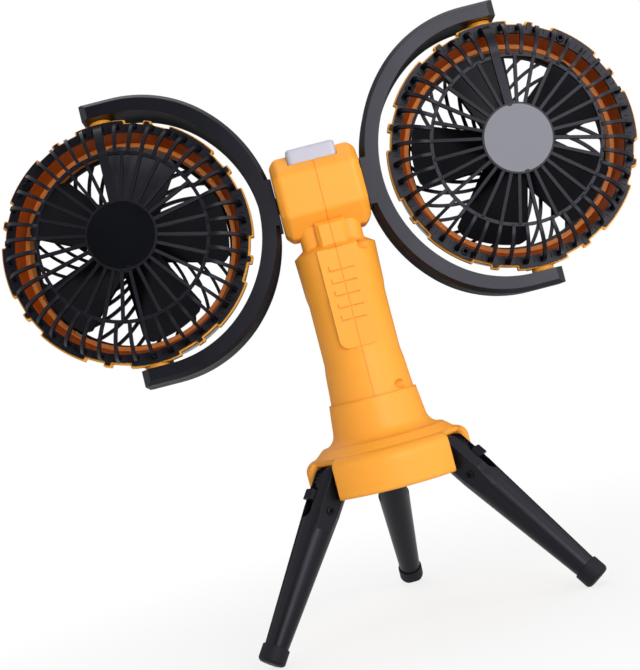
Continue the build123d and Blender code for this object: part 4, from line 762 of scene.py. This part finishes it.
class FAN_OT_stage(bpy.types.Operator):
    """Set the pale floor, the soft lights and the camera"""

    bl_idname = "fan.stage"
    bl_label = "Stage, lights and camera"

    def execute(self, context):
        settings = context.scene.fan_stage
        self.floor()
        self.world(context)
        for name, (place, size, power) in LAMPS.items():
            self.lamp(context, name, place, size, getattr(settings, power))
        for name, (place, target, wide, high) in CARDS.items():
            self.card(name, place, target, wide, high)
        self.camera(context, settings.lens)
        context.scene.view_settings.view_transform = "Standard"
        return {"FINISHED"}

    def floor(self):
        """Pale floor that keeps the shadow near the fan and turns plain white further out."""
        material, tree, shader, place = start("floor_paper_white")
        shader.inputs["Base Color"].default_value = opaque(linear("#F2F2F2"))
        shader.inputs["Roughness"].default_value = 0.9
        away = add(tree, "ShaderNodeVectorMath", {0: place}, operation="LENGTH")
        fade = add(tree, "ShaderNodeMapRange",
                   {"Value": away.outputs["Value"], "From Min": SHADOW_FULL,
                    "From Max": SHADOW_END, "To Min": WHITE_SHARE, "To Max": 1.0})
        plain = add(tree, "ShaderNodeEmission", {"Color": (1, 1, 1, 1), "Strength": 1.0})
        share = add(tree, "ShaderNodeMath", {0: seen_directly(tree), 1: fade.outputs[0]},
                    operation="MULTIPLY")
        both = add(tree, "ShaderNodeMixShader",
                   {0: share.outputs[0], 1: shader.outputs[0], 2: plain.outputs[0]})
        out = next(node for node in tree.nodes if node.type == "OUTPUT_MATERIAL")
        tree.links.new(both.outputs[0], out.inputs["Surface"])
        form = bmesh.new()
        bmesh.ops.create_circle(form, cap_ends=True, segments=64, radius=FLOOR_RADIUS)
        floor = linked("floor", form, material)

    def card(self, name, place, target, wide, high):
        """Dark card that only reflections see, so that black plastic stays black beside it."""
        material, _, shader, _ = start("card_black_matt_" + name)
        shader.inputs["Base Color"].default_value = opaque(linear("#0A0A0A"))
        shader.inputs["Roughness"].default_value = 0.95
        form = bmesh.new()
        bmesh.ops.create_grid(form, x_segments=4, y_segments=4, size=0.5)
        bmesh.ops.scale(form, verts=form.verts, vec=(wide, high, 1.0))
        bmesh.ops.transform(form, matrix=looking(place, target), verts=form.verts)
        flag = linked(name, form, material)
        flag.visible_camera = False
        flag.visible_diffuse = False
        flag.visible_shadow = False

    def world(self, context):
        """White to the camera and in reflections, soft grey light to everything else."""
        world = bpy.data.worlds.new("studio")
        context.scene.world = world
        world.use_nodes = True
        tree = world.node_tree
        tree.nodes.clear()
        soft = add(tree, "ShaderNodeBackground", {"Color": (1, 1, 1, 1), "Strength": ROOM_LIGHT})
        white = add(tree, "ShaderNodeBackground", {"Color": (1, 1, 1, 1), "Strength": 1.0})
        both = add(tree, "ShaderNodeMixShader",
                   {0: seen_directly(tree), 1: soft.outputs[0], 2: white.outputs[0]})
        out = add(tree, "ShaderNodeOutputWorld")
        tree.links.new(both.outputs[0], out.inputs["Surface"])

    def lamp(self, context, name, place, size, power):
        """Large square light that looks at the fan's middle."""
        light = bpy.data.lights.new(name, "AREA")
        light.size = size
        light.energy = power
        lamp = bpy.data.objects.new(name, light)
        lamp.matrix_world = looking(place, LAMP_TARGET)
        context.scene.collection.objects.link(lamp)

    def camera(self, context, lens):
        """Camera behind the fan, a little below its heads and rolled to the left."""
        data = bpy.data.cameras.new("camera")
        data.sensor_width = SENSOR_WIDTH
        data.sensor_fit = "HORIZONTAL"
        data.lens = lens
        data.clip_end = CAMERA_REACH
        camera = bpy.data.objects.new("camera", data)
        pitch, yaw, roll = CAMERA_TURN
        turn = (Matrix.Rotation(roll, 3, "Z") @ Matrix.Rotation(pitch, 3, "X")
                @ Matrix.Rotation(yaw, 3, "Y"))
        rows = turn @ Matrix(((1, 0, 0), (0, 0, -1), (0, 1, 0)))
        facing = Matrix((rows[0], -rows[1], -rows[2])).transposed()
        depth = CAMERA_PLACE[1] + JOINTS["head_turn_left"]["pos_m"][1]
        place = Vector((CAMERA_PLACE[0], depth, CAMERA_PLACE[2]))
        camera.matrix_world = Matrix.Translation(place) @ facing.to_4x4()
        context.scene.collection.objects.link(camera)
        context.scene.camera = camera


class FAN_PT_panel(bpy.types.Panel):
    """Sidebar panel with the fan's settings and steps"""

    bl_idname = "FAN_PT_panel"
    bl_label = "Camping fan"
    bl_space_type = "VIEW_3D"
    bl_region_type = "UI"
    bl_category = "Fan"

    def draw(self, context):
        layout = self.layout
        for group in GROUPS:
            settings = getattr(context.scene, group)
            box = layout.box()
            for key in settings.__annotations__:
                box.prop(settings, key)
        for step in STEPS:
            layout.operator(step.bl_idname)


GROUPS = {"fan_finishes": FAN_PG_finishes, "fan_trim": FAN_PG_trim, "fan_stage": FAN_PG_stage}
STEPS = (FAN_OT_finishes, FAN_OT_labels, FAN_OT_guard_screws, FAN_OT_leg_screws,
         FAN_OT_button_marks, FAN_OT_band_beads, FAN_OT_stage)
CLASSES = (*GROUPS.values(), *STEPS, FAN_PT_panel)


def register():
    for cls in CLASSES:
        bpy.utils.register_class(cls)
    for name, group in GROUPS.items():
        setattr(bpy.types.Scene, name, PointerProperty(type=group))


def unregister():
    for name in GROUPS:
        delattr(bpy.types.Scene, name)
    for cls in reversed(CLASSES):
        bpy.utils.unregister_class(cls)


def main():
    register()
    bpy.ops.fan.finishes()
    bpy.ops.fan.labels()
    bpy.ops.fan.guard_screws()
    bpy.ops.fan.leg_screws()
    bpy.ops.fan.button_marks()
    bpy.ops.fan.band_beads()
    bpy.ops.fan.stage()


if __name__ == "__main__":
    main()
